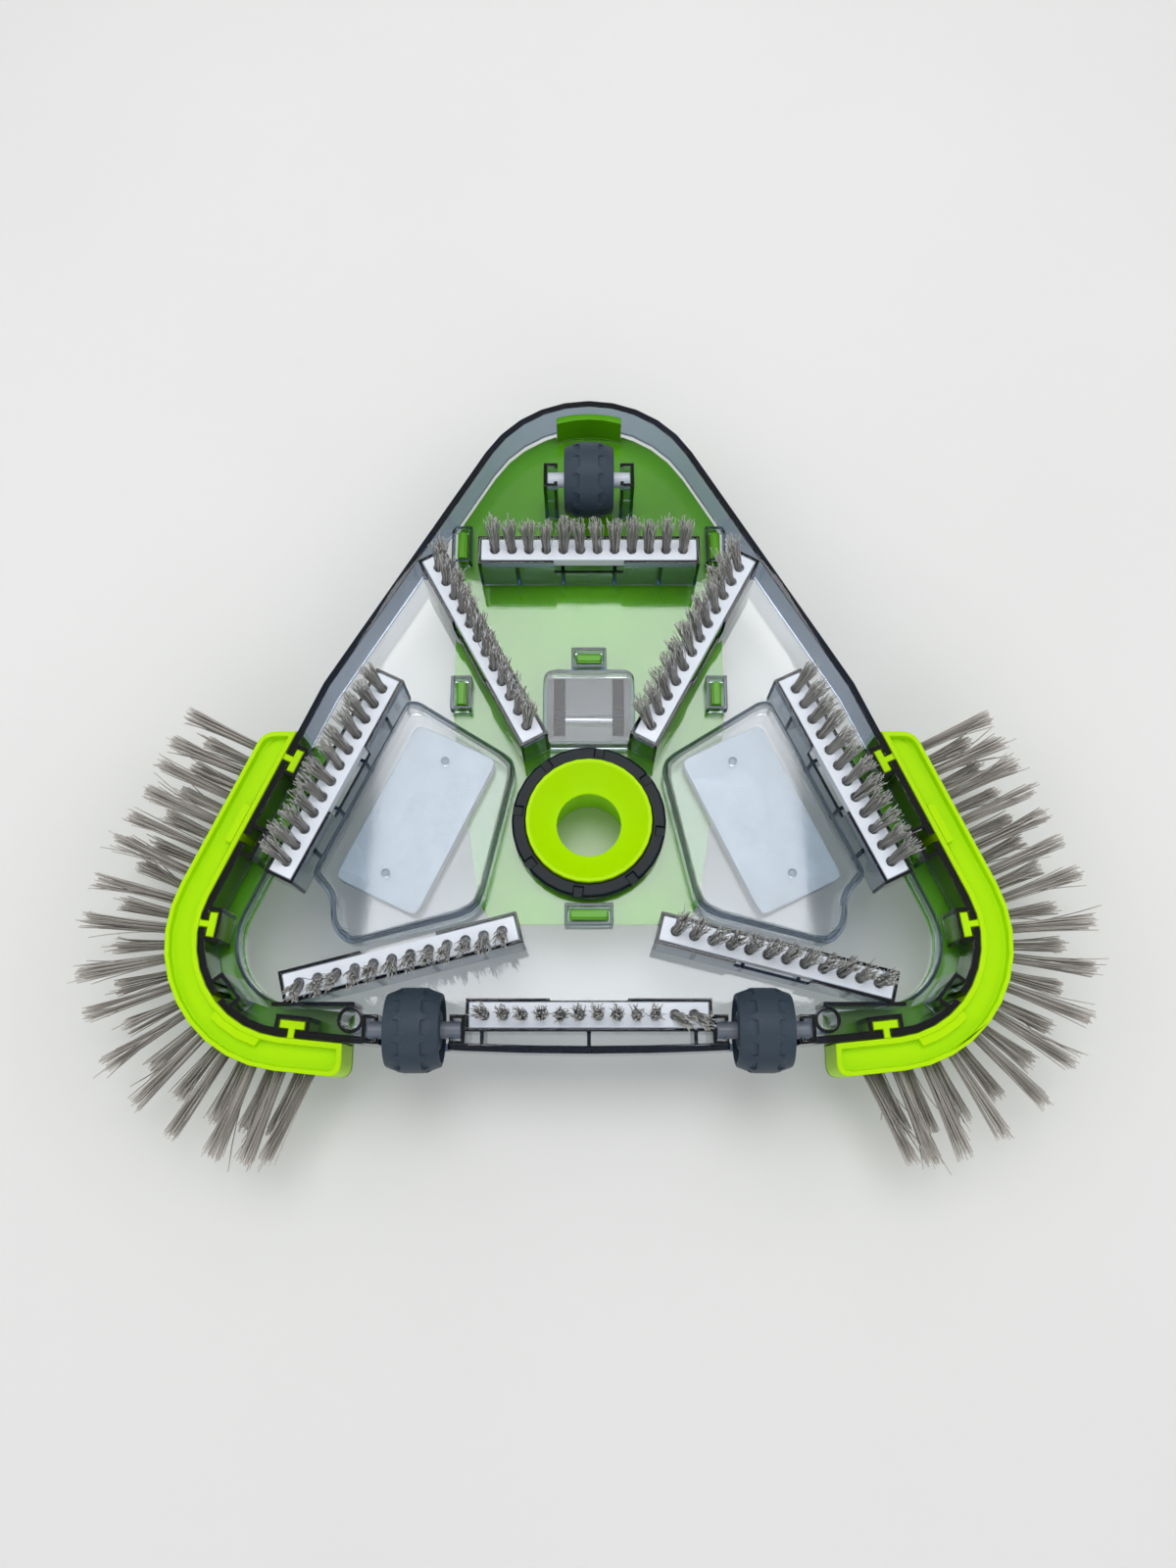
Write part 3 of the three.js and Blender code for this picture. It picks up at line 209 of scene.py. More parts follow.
skin, w, given, result = effect_group(
    "moulded_skin",
    {
        "Point": ("Vector",),
        "Colour": ("Color",),
        "Drift": ("Float", 0.08),
        "Roughness": ("Float", 0.3),
        "Roughness Drift": ("Float", 0.08),
        "Grain Size": ("Float", 0.4),
    },
    {"Colour": ("Color",), "Roughness": ("Float",), "Height": ("Float",)},
)
cloud = w.noise(given["Point"], 18.0, 4.0)
flow = w.noise(w.vector("MULTIPLY", given["Point"], (40.0, 9.0, 25.0)), 1.0, 3.0)
tone = w.math("SUBTRACT", w.math("ADD", cloud, flow), 1.0)
shade = w.math("MULTIPLY_ADD", tone, given["Drift"], 1.0)
w.tree.links.new(w.scaled(given["Colour"], shade), result["Colour"])
rough = w.math("MULTIPLY_ADD", tone, given["Roughness Drift"], given["Roughness"])
w.tree.links.new(rough, result["Roughness"])
grain = w.noise(given["Point"], w.math("DIVIDE", 1 / MM, given["Grain Size"]), 2.0)
w.tree.links.new(w.math("ADD", grain, w.math("MULTIPLY", cloud, 2.0)), result["Height"])
print("group moulded_skin:", len(skin.nodes), "nodes")

# %% Dust and rubs
marks, w, given, result = effect_group(
    "handling_marks",
    {"Point": ("Vector",), "Dust": ("Float", 0.3), "Rubs": ("Float", 0.3)},
    {"Dust": ("Float",), "Rubs": ("Float",)},
)
specks = w.add("ShaderNodeTexVoronoi", {"Vector": given["Point"], "Scale": 900.0}).outputs["Distance"]
patch = w.remap(w.noise(given["Point"], 30.0, 4.0), 0.45, 0.75, 0.0, 1.0)
dots = w.remap(specks, 0.08, 0.16, 1.0, 0.0)
w.tree.links.new(w.math("MULTIPLY", w.math("MULTIPLY", dots, patch), given["Dust"]), result["Dust"])
hair = w.noise(w.vector("MULTIPLY", given["Point"], (3000.0, 60.0, 300.0)), 1.0, 1.0)
across = w.noise(w.vector("MULTIPLY", given["Point"], (80.0, 2600.0, 300.0)), 1.0, 1.0)
lines = w.remap(w.math("MAXIMUM", hair, across), 0.66, 0.76, 0.0, 1.0)
worn = w.remap(w.noise(given["Point"], 45.0, 3.0), 0.5, 0.7, 0.0, 1.0)
w.tree.links.new(w.math("MULTIPLY", w.math("MULTIPLY", lines, worn), given["Rubs"]), result["Rubs"])
print("group handling_marks:", len(marks.nodes), "nodes")

# %% [markdown]
# ## Finishes
# There are three families: solid moulded plastic and rubber, clear smoke plastic, and the rest (zinc plate,
# spring steel, nylon, the table). Every finish reads Object coordinates, which are the CAD's own metres, so
# a grain of 0.4 mm is 0.4 mm on the real head too.

# %% Solid moulded plastic and rubber
def finish(name):
    """A new material: its wiring, its Principled shader, its output and the point being shaded."""
    material = bpy.data.materials.new(name)
    material.use_nodes = True
    wires = Wiring(material.node_tree)
    shader = material.node_tree.nodes["Principled BSDF"]
    output = material.node_tree.nodes["Material Output"]
    point = wires.add("ShaderNodeTexCoord").outputs["Object"]
    return material, wires, shader, output, point


def placed_group(wires, tree, inputs):
    return wires.add("ShaderNodeGroup", inputs, node_tree=tree).outputs


def rgba(colour):
    return (*colour, 1.0)


def plastic(name, colour, roughness, drift=0.1, grain=0.4, relief=0.02, dust=0.25, shine=0.5):
    """Opaque moulded plastic or rubber: drifting tone, fine grain, dust in patches, faint rubs."""
    material, w, shader, output, point = finish(name)
    base = placed_group(w, skin, {
        "Point": point, "Colour": rgba(colour), "Drift": drift, "Roughness": roughness,
        "Roughness Drift": 0.12, "Grain Size": grain,
    })
    soiled = placed_group(w, marks, {"Point": point, "Dust": dust, "Rubs": 0.5})
    dusty = w.blend(soiled["Dust"], base["Colour"], (0.7, 0.7, 0.66, 1))
    w.tree.links.new(dusty, shader.inputs["Base Color"])
    rubbed = w.math("MULTIPLY_ADD", soiled["Rubs"], 0.2, base["Roughness"])
    w.tree.links.new(rubbed, shader.inputs["Roughness"])
    bump = w.add("ShaderNodeBump", {"Height": base["Height"], "Strength": 0.35, "Distance": relief * MM})
    w.tree.links.new(bump.outputs[0], shader.inputs["Normal"])
    shader.inputs["Specular IOR Level"].default_value = shine
    return material


lime = plastic("lime_plastic", (0.45, 0.80, 0.0), 0.32, drift=0.05, dust=0.05, shine=0.1)
# shaded_lime is the lime plastic painted darker and greener: painted shade for the top cover and corner caps
# that lie under the smoke floor
shaded_lime = plastic("deep_lime_plastic", (0.10, 0.38, 0.0), 0.2, drift=0.08, dust=0.03, shine=0.3)
gloss_black = plastic("gloss_black_plastic", (0.008, 0.013, 0.018), 0.2, drift=0.2, dust=0.1, shine=0.1)
tread_rubber = plastic("slate_tread_rubber", (0.030, 0.048, 0.070), 0.5, grain=0.6, relief=0.05, shine=0.3)
strip_white = plastic("white_strip_plastic", (0.78, 0.83, 0.91), 0.36, drift=0.04, dust=0.2)
axle_white = plastic("white_axle_plastic", (0.66, 0.70, 0.78), 0.34, drift=0.05)
axle_grey = plastic("grey_axle_plastic", (0.16, 0.18, 0.22), 0.34)
handle_plastic = plastic("handle_plastic", (0.030, 0.034, 0.042), 0.42, grain=0.5, relief=0.04)
seal = plastic("seal_rubber", (0.016, 0.016, 0.018), 0.6, grain=0.5, relief=0.04)

# %% Clear smoke plastic
# The tint is in the depth of the plastic, not on its skin: thin walls look almost clear, and a wall seen
# along its height looks deep navy. Shadow rays pass straight through, so the lamps reach the table.
def smoke(name, density, tint=(0.11, 0.25, 0.44), through=(0.80, 0.84, 0.88), roughness=0.02):
    material, w, shader, output, point = finish(name)
    soiled = placed_group(w, marks, {"Point": point, "Dust": 0.2, "Rubs": 0.5})
    base = placed_group(w, skin, {
        "Point": point, "Colour": (1, 1, 1, 1), "Drift": 0.0, "Roughness": roughness,
        "Roughness Drift": 0.02, "Grain Size": 2.5,
    })
    marked = w.math("MAXIMUM", soiled["Dust"], soiled["Rubs"])
    w.tree.links.new(w.math("MULTIPLY_ADD", marked, 0.25, base["Roughness"]), shader.inputs["Roughness"])
    bump = w.add("ShaderNodeBump", {"Height": base["Height"], "Strength": 0.12, "Distance": 0.05 * MM})
    w.tree.links.new(bump.outputs[0], shader.inputs["Normal"])
    shader.inputs["Base Color"].default_value = (1, 1, 1, 1)
    shader.inputs["Transmission Weight"].default_value = 1.0
    shader.inputs["IOR"].default_value = 1.49
    depth = w.add("ShaderNodeVolumeAbsorption", {"Color": rgba(tint), "Density": density})
    clear = w.add("ShaderNodeBsdfTransparent", {"Color": rgba(through)})
    shadow = w.add("ShaderNodeLightPath").outputs["Is Shadow Ray"]
    mixed = w.add("ShaderNodeMixShader", {0: shadow, 1: shader.outputs[0], 2: clear.outputs[0]})
    w.tree.links.new(mixed.outputs[0], output.inputs["Surface"])
    w.tree.links.new(depth.outputs[0], output.inputs["Volume"])
    return material


smoke_floor = smoke("smoke_floor", 32.0, through=(0.97, 0.98, 0.985))
smoke_wall = smoke("smoke_wall", 300.0, through=(0.84, 0.87, 0.90))
smoke_box = smoke("smoke_box", 120.0)
smoke_pod = smoke("smoke_pod", 110.0, tint=(0.20, 0.33, 0.47), roughness=0.05)

# %% Zinc plate
# The weights are cut from galvanised sheet. The zinc freezes in flat crystals, each a little lighter or
# darker than the next, so its pattern is a Voronoi cell pattern rather than a cloud.
def zinc_plate():
    material, w, shader, output, point = finish("zinc_plate")
    warp = w.scaled(w.add("ShaderNodeTexNoise", {"Vector": point, "Scale": 60.0}).outputs["Color"], 0.004)
    cells = w.add("ShaderNodeTexVoronoi", {"Vector": w.vector("ADD", point, warp), "Scale": 130.0})
    value = w.add("ShaderNodeSeparateColor", {0: cells.outputs["Color"]}).outputs[0]
    crystals = w.blend(value, (0.36, 0.42, 0.47, 1), (0.46, 0.53, 0.58, 1))
    w.tree.links.new(crystals, shader.inputs["Base Color"])
    soiled = placed_group(w, marks, {"Point": point, "Dust": 0.3, "Rubs": 0.8})
    base = w.remap(value, 0.0, 1.0, 0.34, 0.5)
    w.tree.links.new(w.math("MULTIPLY_ADD", soiled["Rubs"], 0.2, base), shader.inputs["Roughness"])
    bump = w.add("ShaderNodeBump", {"Height": value, "Strength": 0.2, "Distance": 0.03 * MM})
    w.tree.links.new(bump.outputs[0], shader.inputs["Normal"])
    shader.inputs["Metallic"].default_value = 0.25
    return material


def spring_steel():
    material, w, shader, output, point = finish("spring_steel")
    rolled = w.noise(w.vector("MULTIPLY", point, (60.0, 60.0, 2500.0)), 1.0, 2.0)
    drawn = w.blend(rolled, (0.42, 0.43, 0.45, 1), (0.62, 0.63, 0.65, 1))
    w.tree.links.new(drawn, shader.inputs["Base Color"])
    w.tree.links.new(w.remap(rolled, 0.3, 0.7, 0.2, 0.36), shader.inputs["Roughness"])
    shader.inputs["Metallic"].default_value = 1.0
    return material


zinc, steel = zinc_plate(), spring_steel()

# %% Nylon filaments
# Each filament carries two numbers from the tree that grew it: how far along it a point is, and a shade
# of its own. The root end is painted darker towards near black, a painted shade where the filaments crowd
# into the hole, and the cut ends are painted lighter, a painted highlight where light leaves the nylon
# there.
def nylon(name, dark, light, tip):
    material, w, shader, output, point = finish(name)
    along = w.add("ShaderNodeAttribute", attribute_name="along").outputs["Fac"]
    own = w.add("ShaderNodeAttribute", attribute_name="shade").outputs["Fac"]
    body = w.blend(own, rgba(dark), rgba(light))
    # painted shade: each filament is darkened towards near black at its root
    shaded_root = w.blend(w.remap(along, 0.0, 0.35, 0.55, 1.0), (0.02, 0.02, 0.025, 1), body)
    # painted highlight: each filament is lightened towards its cut end
    lit_tips = w.blend(w.remap(along, 0.82, 1.0, 0.0, 0.8), shaded_root, rgba(tip))
    streak = w.noise(point, 2200.0, 2.0)
    streaked = w.scaled(lit_tips, w.remap(streak, 0.3, 0.7, 0.7, 1.3))
    w.tree.links.new(w.blend(0.35, lit_tips, streaked), shader.inputs["Base Color"])
    w.tree.links.new(w.remap(streak, 0.3, 0.7, 0.32, 0.5), shader.inputs["Roughness"])
    shader.inputs["Sheen Weight"].default_value = 0.1
    return material


strip_nylon = nylon("strip_nylon", (0.24, 0.235, 0.225), (0.56, 0.55, 0.52), (0.76, 0.75, 0.72))
side_nylon = nylon("side_nylon", (0.19, 0.17, 0.155), (0.50, 0.465, 0.43), (0.62, 0.58, 0.54))

# %% Table top
def table_top():
    material, w, shader, output, point = finish("table_top")
    mottle = w.noise(point, 3.0, 5.0)
    mottled = w.blend(mottle, (0.76, 0.76, 0.745, 1), (0.82, 0.82, 0.805, 1))
    w.tree.links.new(mottled, shader.inputs["Base Color"])
    w.tree.links.new(w.remap(mottle, 0.3, 0.7, 0.3, 0.42), shader.inputs["Roughness"])
    shader.inputs["Specular IOR Level"].default_value = 0.35
    return material


table.data.materials.append(table_top())

# %% [markdown]
# ## Softened edges
# A CAD solid has knife edges, and a moulded part never has. A copy of each solid is welded, its flat faces
# are joined again, and every sharp edge gets a small rounding that catches the light. Weighted normals
# keep the flat faces flat. The copy then stands for the CAD node.

# %% Refining helper
WELD = 0.02 * MM      # corners nearer than this are one corner
FLAT = 0.6            # degrees: faces that meet flatter than this are one face
SHADING_EDGE = 42     # degrees: an edge sharper than this stays sharp in the shading
EDGE_SHARE = 0.45     # a rounding takes at most this part of the shortest edge beside it


def welded(node):
    """A CAD node's mesh as one closed surface with its flat faces joined."""
    bm = bmesh.new()
    bm.from_mesh(frame["nodes"][node].data)
    bmesh.ops.remove_doubles(bm, verts=bm.verts, dist=WELD)
    bmesh.ops.dissolve_limit(bm, angle_limit=math.radians(FLAT), verts=bm.verts, edges=bm.edges)
    return bm


def plain(obj):
    """The object's evaluated mesh; the object itself is removed."""
    depsgraph = bpy.context.evaluated_depsgraph_get()
    mesh = bpy.data.meshes.new_from_object(
        obj.evaluated_get(depsgraph), preserve_all_data_layers=True, depsgraph=depsgraph,
    )
    bpy.data.objects.remove(obj)
    return mesh


def softened(bm, name, width, steps=2, angle=35):
    """Rounds the edges of a welded mesh by a width in mm, with shading that keeps flat faces flat.

    Each sharp edge gets its own weight, so a rounding is never wider than the short edges beside it. The
    faces are cut into triangles first, because a face with many corners may fold over itself."""
    weight = bm.edges.layers.float.new("bevel_weight_edge")
    bmesh.ops.triangulate(bm, faces=bm.faces)
    sharp = {edge for edge in bm.edges if edge.calc_face_angle(0) > math.radians(angle)}
    room = {}
    for vert in bm.verts:
        lengths = [edge.calc_length() for edge in vert.link_edges if edge in sharp]
        room[vert] = EDGE_SHARE * min(lengths, default=1) / (width * MM)
    for edge in sharp:
        edge[weight] = min(1.0, *(room[vert] for vert in edge.verts))
    rough = linked(name + "_rough", mesh_from(name + "_rough", bm))
    bevel = rough.modifiers.new("soft_edges", "BEVEL")
    bevel.limit_method = "WEIGHT"
    bevel.width = width * MM
    bevel.segments = steps
    bevel.use_clamp_overlap = False
    mesh = plain(rough)
    mesh.shade_smooth()
    mesh.set_sharp_from_angle(angle=math.radians(SHADING_EDGE))
    smooth = linked(name + "_smooth", mesh)
    weighted = smooth.modifiers.new("flat_faces_flat", "WEIGHTED_NORMAL")
    weighted.keep_sharp = True
    return plain(smooth)


node_body = {node: body for body, nodes in frame["record"]["behaviour"]["bodies"].items() for node in nodes}


def stand_in(name, mesh, material, slot, body, *nodes):
    """Makes the finished piece: its mesh, its finish, the body that it rides on and what it replaces."""
    mesh.materials.clear()
    mesh.materials.append(material)
    piece = linked(name, mesh)
    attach(piece, body)
    if nodes:
        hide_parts(*nodes)
    print(f"{name}: {len(mesh.polygons)} faces on {body}")
    return piece


# %% Refine the moulded parts
# Each row says the finish, the slot and the width of the rounding in mm.
both = ("left", "right")
standing = ("brush_frame_", "apex_wheel_clip_", "corner_wall_", "round_post_", "snap_socket_", "port_neck")
moulded_parts = {
    "tray_body": (smoke_wall, "clear_tray", 0.3),
    "tray_floor": (smoke_floor, "clear_tray", 0.3),
    **{
        node: (smoke_wall, "clear_tray", 0.25)
        for node in sorted(frame["nodes"]) if node.startswith(standing)
    },
    "pivot_bracket": (smoke_box, "clear_tray", 0.4),
    "top_cover": (shaded_lime, "lime_shell", 0.4),
    "hose_connector": (lime, "lime_shell", 0.5),
    "hose_lock_ring": (gloss_black, "dark_plastic", 0.4),
    "pole_handle": (handle_plastic, "dark_plastic", 0.6),
    "handle_pivot_pin": (steel, "steel", 0.4),
    "handle_clip_spring": (steel, "steel", 0.1),
    "axle_apex": (axle_white, "axle_plastic", 0.4),
    "axle_front_left": (axle_grey, "axle_plastic", 0.4),
    "axle_front_right": (axle_grey, "axle_plastic", 0.4),
    **{f"corner_cap_{side}": (shaded_lime, "lime_shell", 0.35) for side in both},
    **{f"side_brush_carrier_{side}": (lime, "lime_shell", 0.5) for side in both},
    **{f"weight_cover_{side}": (smoke_pod, "clear_tray", 0.7) for side in both},
    **{f"weight_plate_{side}": (zinc, "steel", 0.6) for side in both},
    **{f"clip_button_{side}": (steel, "steel", 0.35) for side in both},
}
for node, (material, slot_name, width) in moulded_parts.items():
    mesh = softened(welded(node), node, width, steps=3)
    stand_in("fine_" + node, mesh, material, slot_name, node_body[node], node)

ring = frame["nodes"]["swivel_seal"]
ring.data.materials.clear()
ring.data.materials.append(seal)

# %% [markdown]
# ## Brush strips
# A strip is a white bar with twelve blind holes, and a tuft of nylon is stapled into each. The holes repeat
# along a line, so Geometry Nodes cut them: a row of points, a drill on each, and one boolean. The bar is
# made once and laid where the CAD strips lie.

# %% Where the tufts stand
def flat_faces(node):
    """Centre, normal and area in square mm of every flat face of a CAD node."""
    bm = welded(node)
    found = [(f.calc_center_median(), f.normal.copy(), f.calc_area() / MM**2) for f in bm.faces]
    bm.free()
    return found


strips = [node for node in frame["nodes"] if node.startswith("brush_strip_")]
TUFT_END_AREA = 20  # square mm: a tuft's cut end is smaller than this, and the bar's top is larger


def strip_layout(node):
    """Tuft tips, height of the bar's top, direction and middle of one strip, read off its CAD solid."""
    level = [(centre, area) for centre, normal, area in flat_faces(node) if normal.z > 0.99]
    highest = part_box(node)[1].z
    ends = (centre for centre, area in level if area < TUFT_END_AREA and centre.z > highest - MM)
    tips = sorted(ends, key=lambda place: (place.x, place.y))
    lower = ((centre, area) for centre, area in level if centre.z < tips[0].z - MM)
    top = max(lower, key=lambda face: face[1])[0].z
    line = (tips[-1] - tips[0]).normalized()
    return {"tips": tips, "top": top, "line": line, "middle": (tips[0] + tips[-1]) / 2}


layouts = {node: strip_layout(node) for node in strips}
for node, layout in layouts.items():
    angle = math.degrees(math.atan2(layout["line"].y, layout["line"].x))
    print(node, len(layout["tips"]), "tufts, turned", round(angle, 1), "degrees")

# %% Geometry tree: drilled bar
def geometry_tree(name, inputs):
    tree = bpy.data.node_groups.new(name, "GeometryNodeTree")
    sockets(tree, "INPUT", {"Geometry": ("Geometry",), **inputs})
    sockets(tree, "OUTPUT", {"Geometry": ("Geometry",)})
    wires = Wiring(tree)
    return tree, wires, wires.add("NodeGroupInput").outputs


def finish_tree(w, geometry, material):
    """Every tree ends the same way: real geometry, then its material."""
    real = w.add("GeometryNodeRealizeInstances", {0: geometry}).outputs[0]
    painted = w.add("GeometryNodeSetMaterial", {"Geometry": real, "Material": material}).outputs[0]
    w.tree.links.new(painted, w.add("NodeGroupOutput").inputs[0])


def grown(name, mesh, tree, **values):
    """Runs a geometry tree over a mesh and gives the plain mesh that it makes."""
    source = linked(name + "_source", mesh)
    modifier = source.modifiers.new("grow", "NODES")
    modifier.node_group = tree
    for item in tree.interface.items_tree:
        if item.in_out == "INPUT" and item.name in values:
            modifier[item.identifier] = values[item.name]
    return plain(source)


drill_tree, w, given = geometry_tree("drilled_bar", {
    "Holes": ("Int", 12),
    "Pitch": ("Float", 7.8 * MM),
    "Hole Radius": ("Float", 2.2 * MM),
    "Depth": ("Float", 3 * MM),
    "Top": ("Float", 0.0),
    "Material": ("Material",),
})
span = w.math("MULTIPLY", given["Pitch"], w.math("SUBTRACT", given["Holes"], 1))
start = w.add("ShaderNodeCombineXYZ", {0: w.math("MULTIPLY", span, -0.5), 2: given["Top"]}).outputs[0]
step = w.add("ShaderNodeCombineXYZ", {0: given["Pitch"]}).outputs[0]
row = w.add("GeometryNodeMeshLine", {"Count": given["Holes"], "Start Location": start, "Offset": step})
drill = w.add("GeometryNodeMeshCylinder", {
    "Vertices": 20, "Radius": given["Hole Radius"], "Depth": w.math("MULTIPLY", given["Depth"], 2.0),
})
drills = w.add("GeometryNodeInstanceOnPoints", {"Points": row.outputs[0], "Instance": drill.outputs[0]})
cut_bar = w.add("GeometryNodeMeshBoolean", {
    "Mesh 1": given["Geometry"],
    "Mesh 2": w.add("GeometryNodeRealizeInstances", {0: drills.outputs[0]}).outputs[0],
}, operation="DIFFERENCE")
finish_tree(w, cut_bar.outputs[0], given["Material"])

# %% Make one bar and lay it eight times
BAR = Vector((98.0, 10.2, 6.0)) * MM
first = layouts[strips[0]]
pitch = (first["tips"][-1] - first["tips"][0]).length / (len(first["tips"]) - 1)

bm = bmesh.new()
bmesh.ops.create_cube(bm, size=1)
bmesh.ops.scale(bm, vec=BAR, verts=bm.verts)
bmesh.ops.translate(bm, vec=(0, 0, -BAR.z / 2), verts=bm.verts)
drilled = grown(
    "bar", mesh_from("bar", bm), drill_tree,
    **{"Pitch": pitch, "Holes": len(first["tips"]), "Material": strip_white},
)
bm = bmesh.new()
bm.from_mesh(drilled)
bar_mesh = softened(bm, "bar", 0.45, steps=3)

for node, layout in layouts.items():
    mesh = bar_mesh.copy()
    turn = Matrix.Rotation(math.atan2(layout["line"].y, layout["line"].x), 4, "Z")
    place = Matrix.Translation((layout["middle"].x, layout["middle"].y, layout["top"]))
    mesh.transform(place @ turn)
    stand_in(node.replace("brush_strip", "strip_bar"), mesh, strip_white, "strip_plastic", "head", node)

# %% [markdown]
# ## Bristles
# A tuft is a bundle of nylon filaments that leave one hole together and fan out. One Geometry Nodes tree
# grows every tuft of the head. It is given one point for each tuft with three attributes, aim, across and
# reach. It copies the point once for each filament, lays a short line on each copy, and then works out
# where every point of that line should stand: along the aim, out from the middle, bent and crimped.

# %% Geometry tree: tufts of filaments
tuft_tree, w, given = geometry_tree("nylon_tufts", {
    "Filaments": ("Int", 34),
    "Thickness": ("Float", 0.36 * MM),
    "Root Radius": ("Float", 1.8 * MM),
    "Tip Radius": ("Float", 3.2 * MM),
    "Bend": ("Float", 0.6 * MM),
    "Stray": ("Float", 5 * MM),
    "Crimp": ("Float", 0.5 * MM),
    "Crimp Waves": ("Float", 5.0),
    "Uneven": ("Float", 0.05),
    "Sections": ("Int", 7),
    "Sides": ("Int", 3),
    "Seed": ("Int", 4),
    "Material": ("Material",),
})


def chance(low, high, shift, kind="FLOAT"):
    """A random number or vector for each filament; shift makes it its own draw."""
    first_input = 0 if kind == "FLOAT_VECTOR" else 2
    seed = w.math("ADD", given["Seed"], shift)
    inputs = {first_input: low, first_input + 1: high, "Seed": seed}
    node = w.add("FunctionNodeRandomValue", inputs, data_type=kind)
    return node.outputs[0 if kind == "FLOAT_VECTOR" else 1]


def kept(geometry, name, value, kind="FLOAT"):
    """Stores a value on each point under a name."""
    inputs = {"Geometry": geometry, "Name": name, "Value": value}
    return w.add("GeometryNodeStoreNamedAttribute", inputs, data_type=kind, domain="POINT").outputs[0]


def named(name, kind="FLOAT"):
    return w.add("GeometryNodeInputNamedAttribute", {"Name": name}, data_type=kind).outputs[0]


copies = w.add(
    "GeometryNodeDuplicateElements", {"Geometry": given["Geometry"], "Amount": given["Filaments"]},
    domain="POINT",
).outputs[0]
across_aim = named("across", "FLOAT_VECTOR")
third_way = w.vector("CROSS_PRODUCT", named("aim", "FLOAT_VECTOR"), across_aim)
turn_angle = w.math("MULTIPLY", chance(0.0, 1.0, 1), 2 * math.pi)
out = w.math("SQRT", chance(0.0, 1.0, 2))
disc = w.vector(
    "ADD",
    w.scaled(across_aim, w.math("MULTIPLY", w.math("COSINE", turn_angle), out)),
    w.scaled(third_way, w.math("MULTIPLY", w.math("SINE", turn_angle), out)),
)
rarely = w.math("POWER", chance(0.0, 1.0, 3), 12.0)
wild_amount = w.math("MULTIPLY_ADD", rarely, given["Stray"], given["Bend"])
wild = w.scaled(chance((-1.0, -1.0, -1.0), (1.0, 1.0, 1.0), 4, "FLOAT_VECTOR"), wild_amount)
tuned = kept(copies, "root", w.add("GeometryNodeInputPosition").outputs[0], "FLOAT_VECTOR")
tuned = kept(tuned, "disc", disc, "FLOAT_VECTOR")
tuned = kept(tuned, "wild", wild, "FLOAT_VECTOR")
tuned = kept(tuned, "shade", chance(0.0, 1.0, 5))
tuned = kept(tuned, "uneven", w.math("MULTIPLY", chance(-1.0, 0.6, 6), given["Uneven"]))

line = w.add("GeometryNodeCurvePrimitiveLine", {"End": (0.0, 0.0, 1.0)}).outputs[0]
line = w.add("GeometryNodeResampleCurve", {"Curve": line, "Count": given["Sections"]}).outputs[0]
laid = w.add("GeometryNodeInstanceOnPoints", {"Points": tuned, "Instance": line}).outputs[0]
curves = w.add("GeometryNodeRealizeInstances", {0: laid}).outputs[0]

t = w.add("GeometryNodeSplineParameter").outputs["Factor"]
length = w.math("MULTIPLY", named("reach"), w.math("ADD", named("uneven"), 1.0))
fan = w.math("SUBTRACT", given["Tip Radius"], given["Root Radius"])
spread = w.math("MULTIPLY_ADD", w.math("POWER", t, 1.3), fan, given["Root Radius"])
phase = w.scaled((1.0, 1.0, 1.0), w.math("MULTIPLY", t, given["Crimp Waves"]))
waves = w.vector("ADD", w.scaled(named("disc", "FLOAT_VECTOR"), 40.0), phase)
ripple = w.add("ShaderNodeTexNoise", {"Vector": waves, "Scale": 1.0, "Detail": 1.0}).outputs["Color"]
ripple = w.vector("SUBTRACT", ripple, (0.5, 0.5, 0.5))
place = w.summed(
    named("root", "FLOAT_VECTOR"),
    w.scaled(named("aim", "FLOAT_VECTOR"), w.math("MULTIPLY", length, t)),
    w.scaled(named("disc", "FLOAT_VECTOR"), spread),
    w.scaled(named("wild", "FLOAT_VECTOR"), w.math("POWER", t, 2.0)),
    w.scaled(ripple, w.math("MULTIPLY", given["Crimp"], w.math("MULTIPLY", t, 4.0))),
)
shaped = w.add("GeometryNodeSetPosition", {"Geometry": curves, "Position": place}).outputs[0]
shaped = kept(shaped, "along", t)
ring_curve = w.add("GeometryNodeCurvePrimitiveCircle", {
    "Resolution": given["Sides"], "Radius": w.math("MULTIPLY", given["Thickness"], 0.5),
}).outputs[0]
strands = w.add("GeometryNodeCurveToMesh", {"Curve": shaped, "Profile Curve": ring_curve, "Fill Caps": True})
smooth = w.add("GeometryNodeSetShadeSmooth", {"Geometry": strands.outputs[0], "Shade Smooth": True})
finish_tree(w, smooth.outputs[0], given["Material"])

# %% Tufts of the strips
# The strips have been used: each leans its own way. A lean is how far a tuft's tip stands off, in mm. The
# last two tufts of the front strip are pressed over further.
STRIP_LEANS = {
    "apex": (0.0, 5.0), "front": (0.0, -0.5),
    "upper_right": (-5.0, 6.0), "upper_left": (2.5, 3.5),
    "outer_right": (6.0, 3.6), "outer_left": (-5.0, 4.0),
    "lower_right": (2.6, 1.6), "lower_left": (0.5, -6.5),
}


def tuft_points(name, tufts):
    """A mesh of loose points, one for each tuft, with the attributes that the tree reads."""
    mesh = bpy.data.meshes.new(name)
    mesh.from_pydata([tuft["root"] for tuft in tufts], [], [])
    for label, kind in (("aim", "FLOAT_VECTOR"), ("across", "FLOAT_VECTOR"), ("reach", "FLOAT")):
        values = np.array([tuft[label] for tuft in tufts], np.float32).reshape(-1)
        field = "vector" if kind == "FLOAT_VECTOR" else "value"
        mesh.attributes.new(label, kind, "POINT").data.foreach_set(field, values)
    return mesh


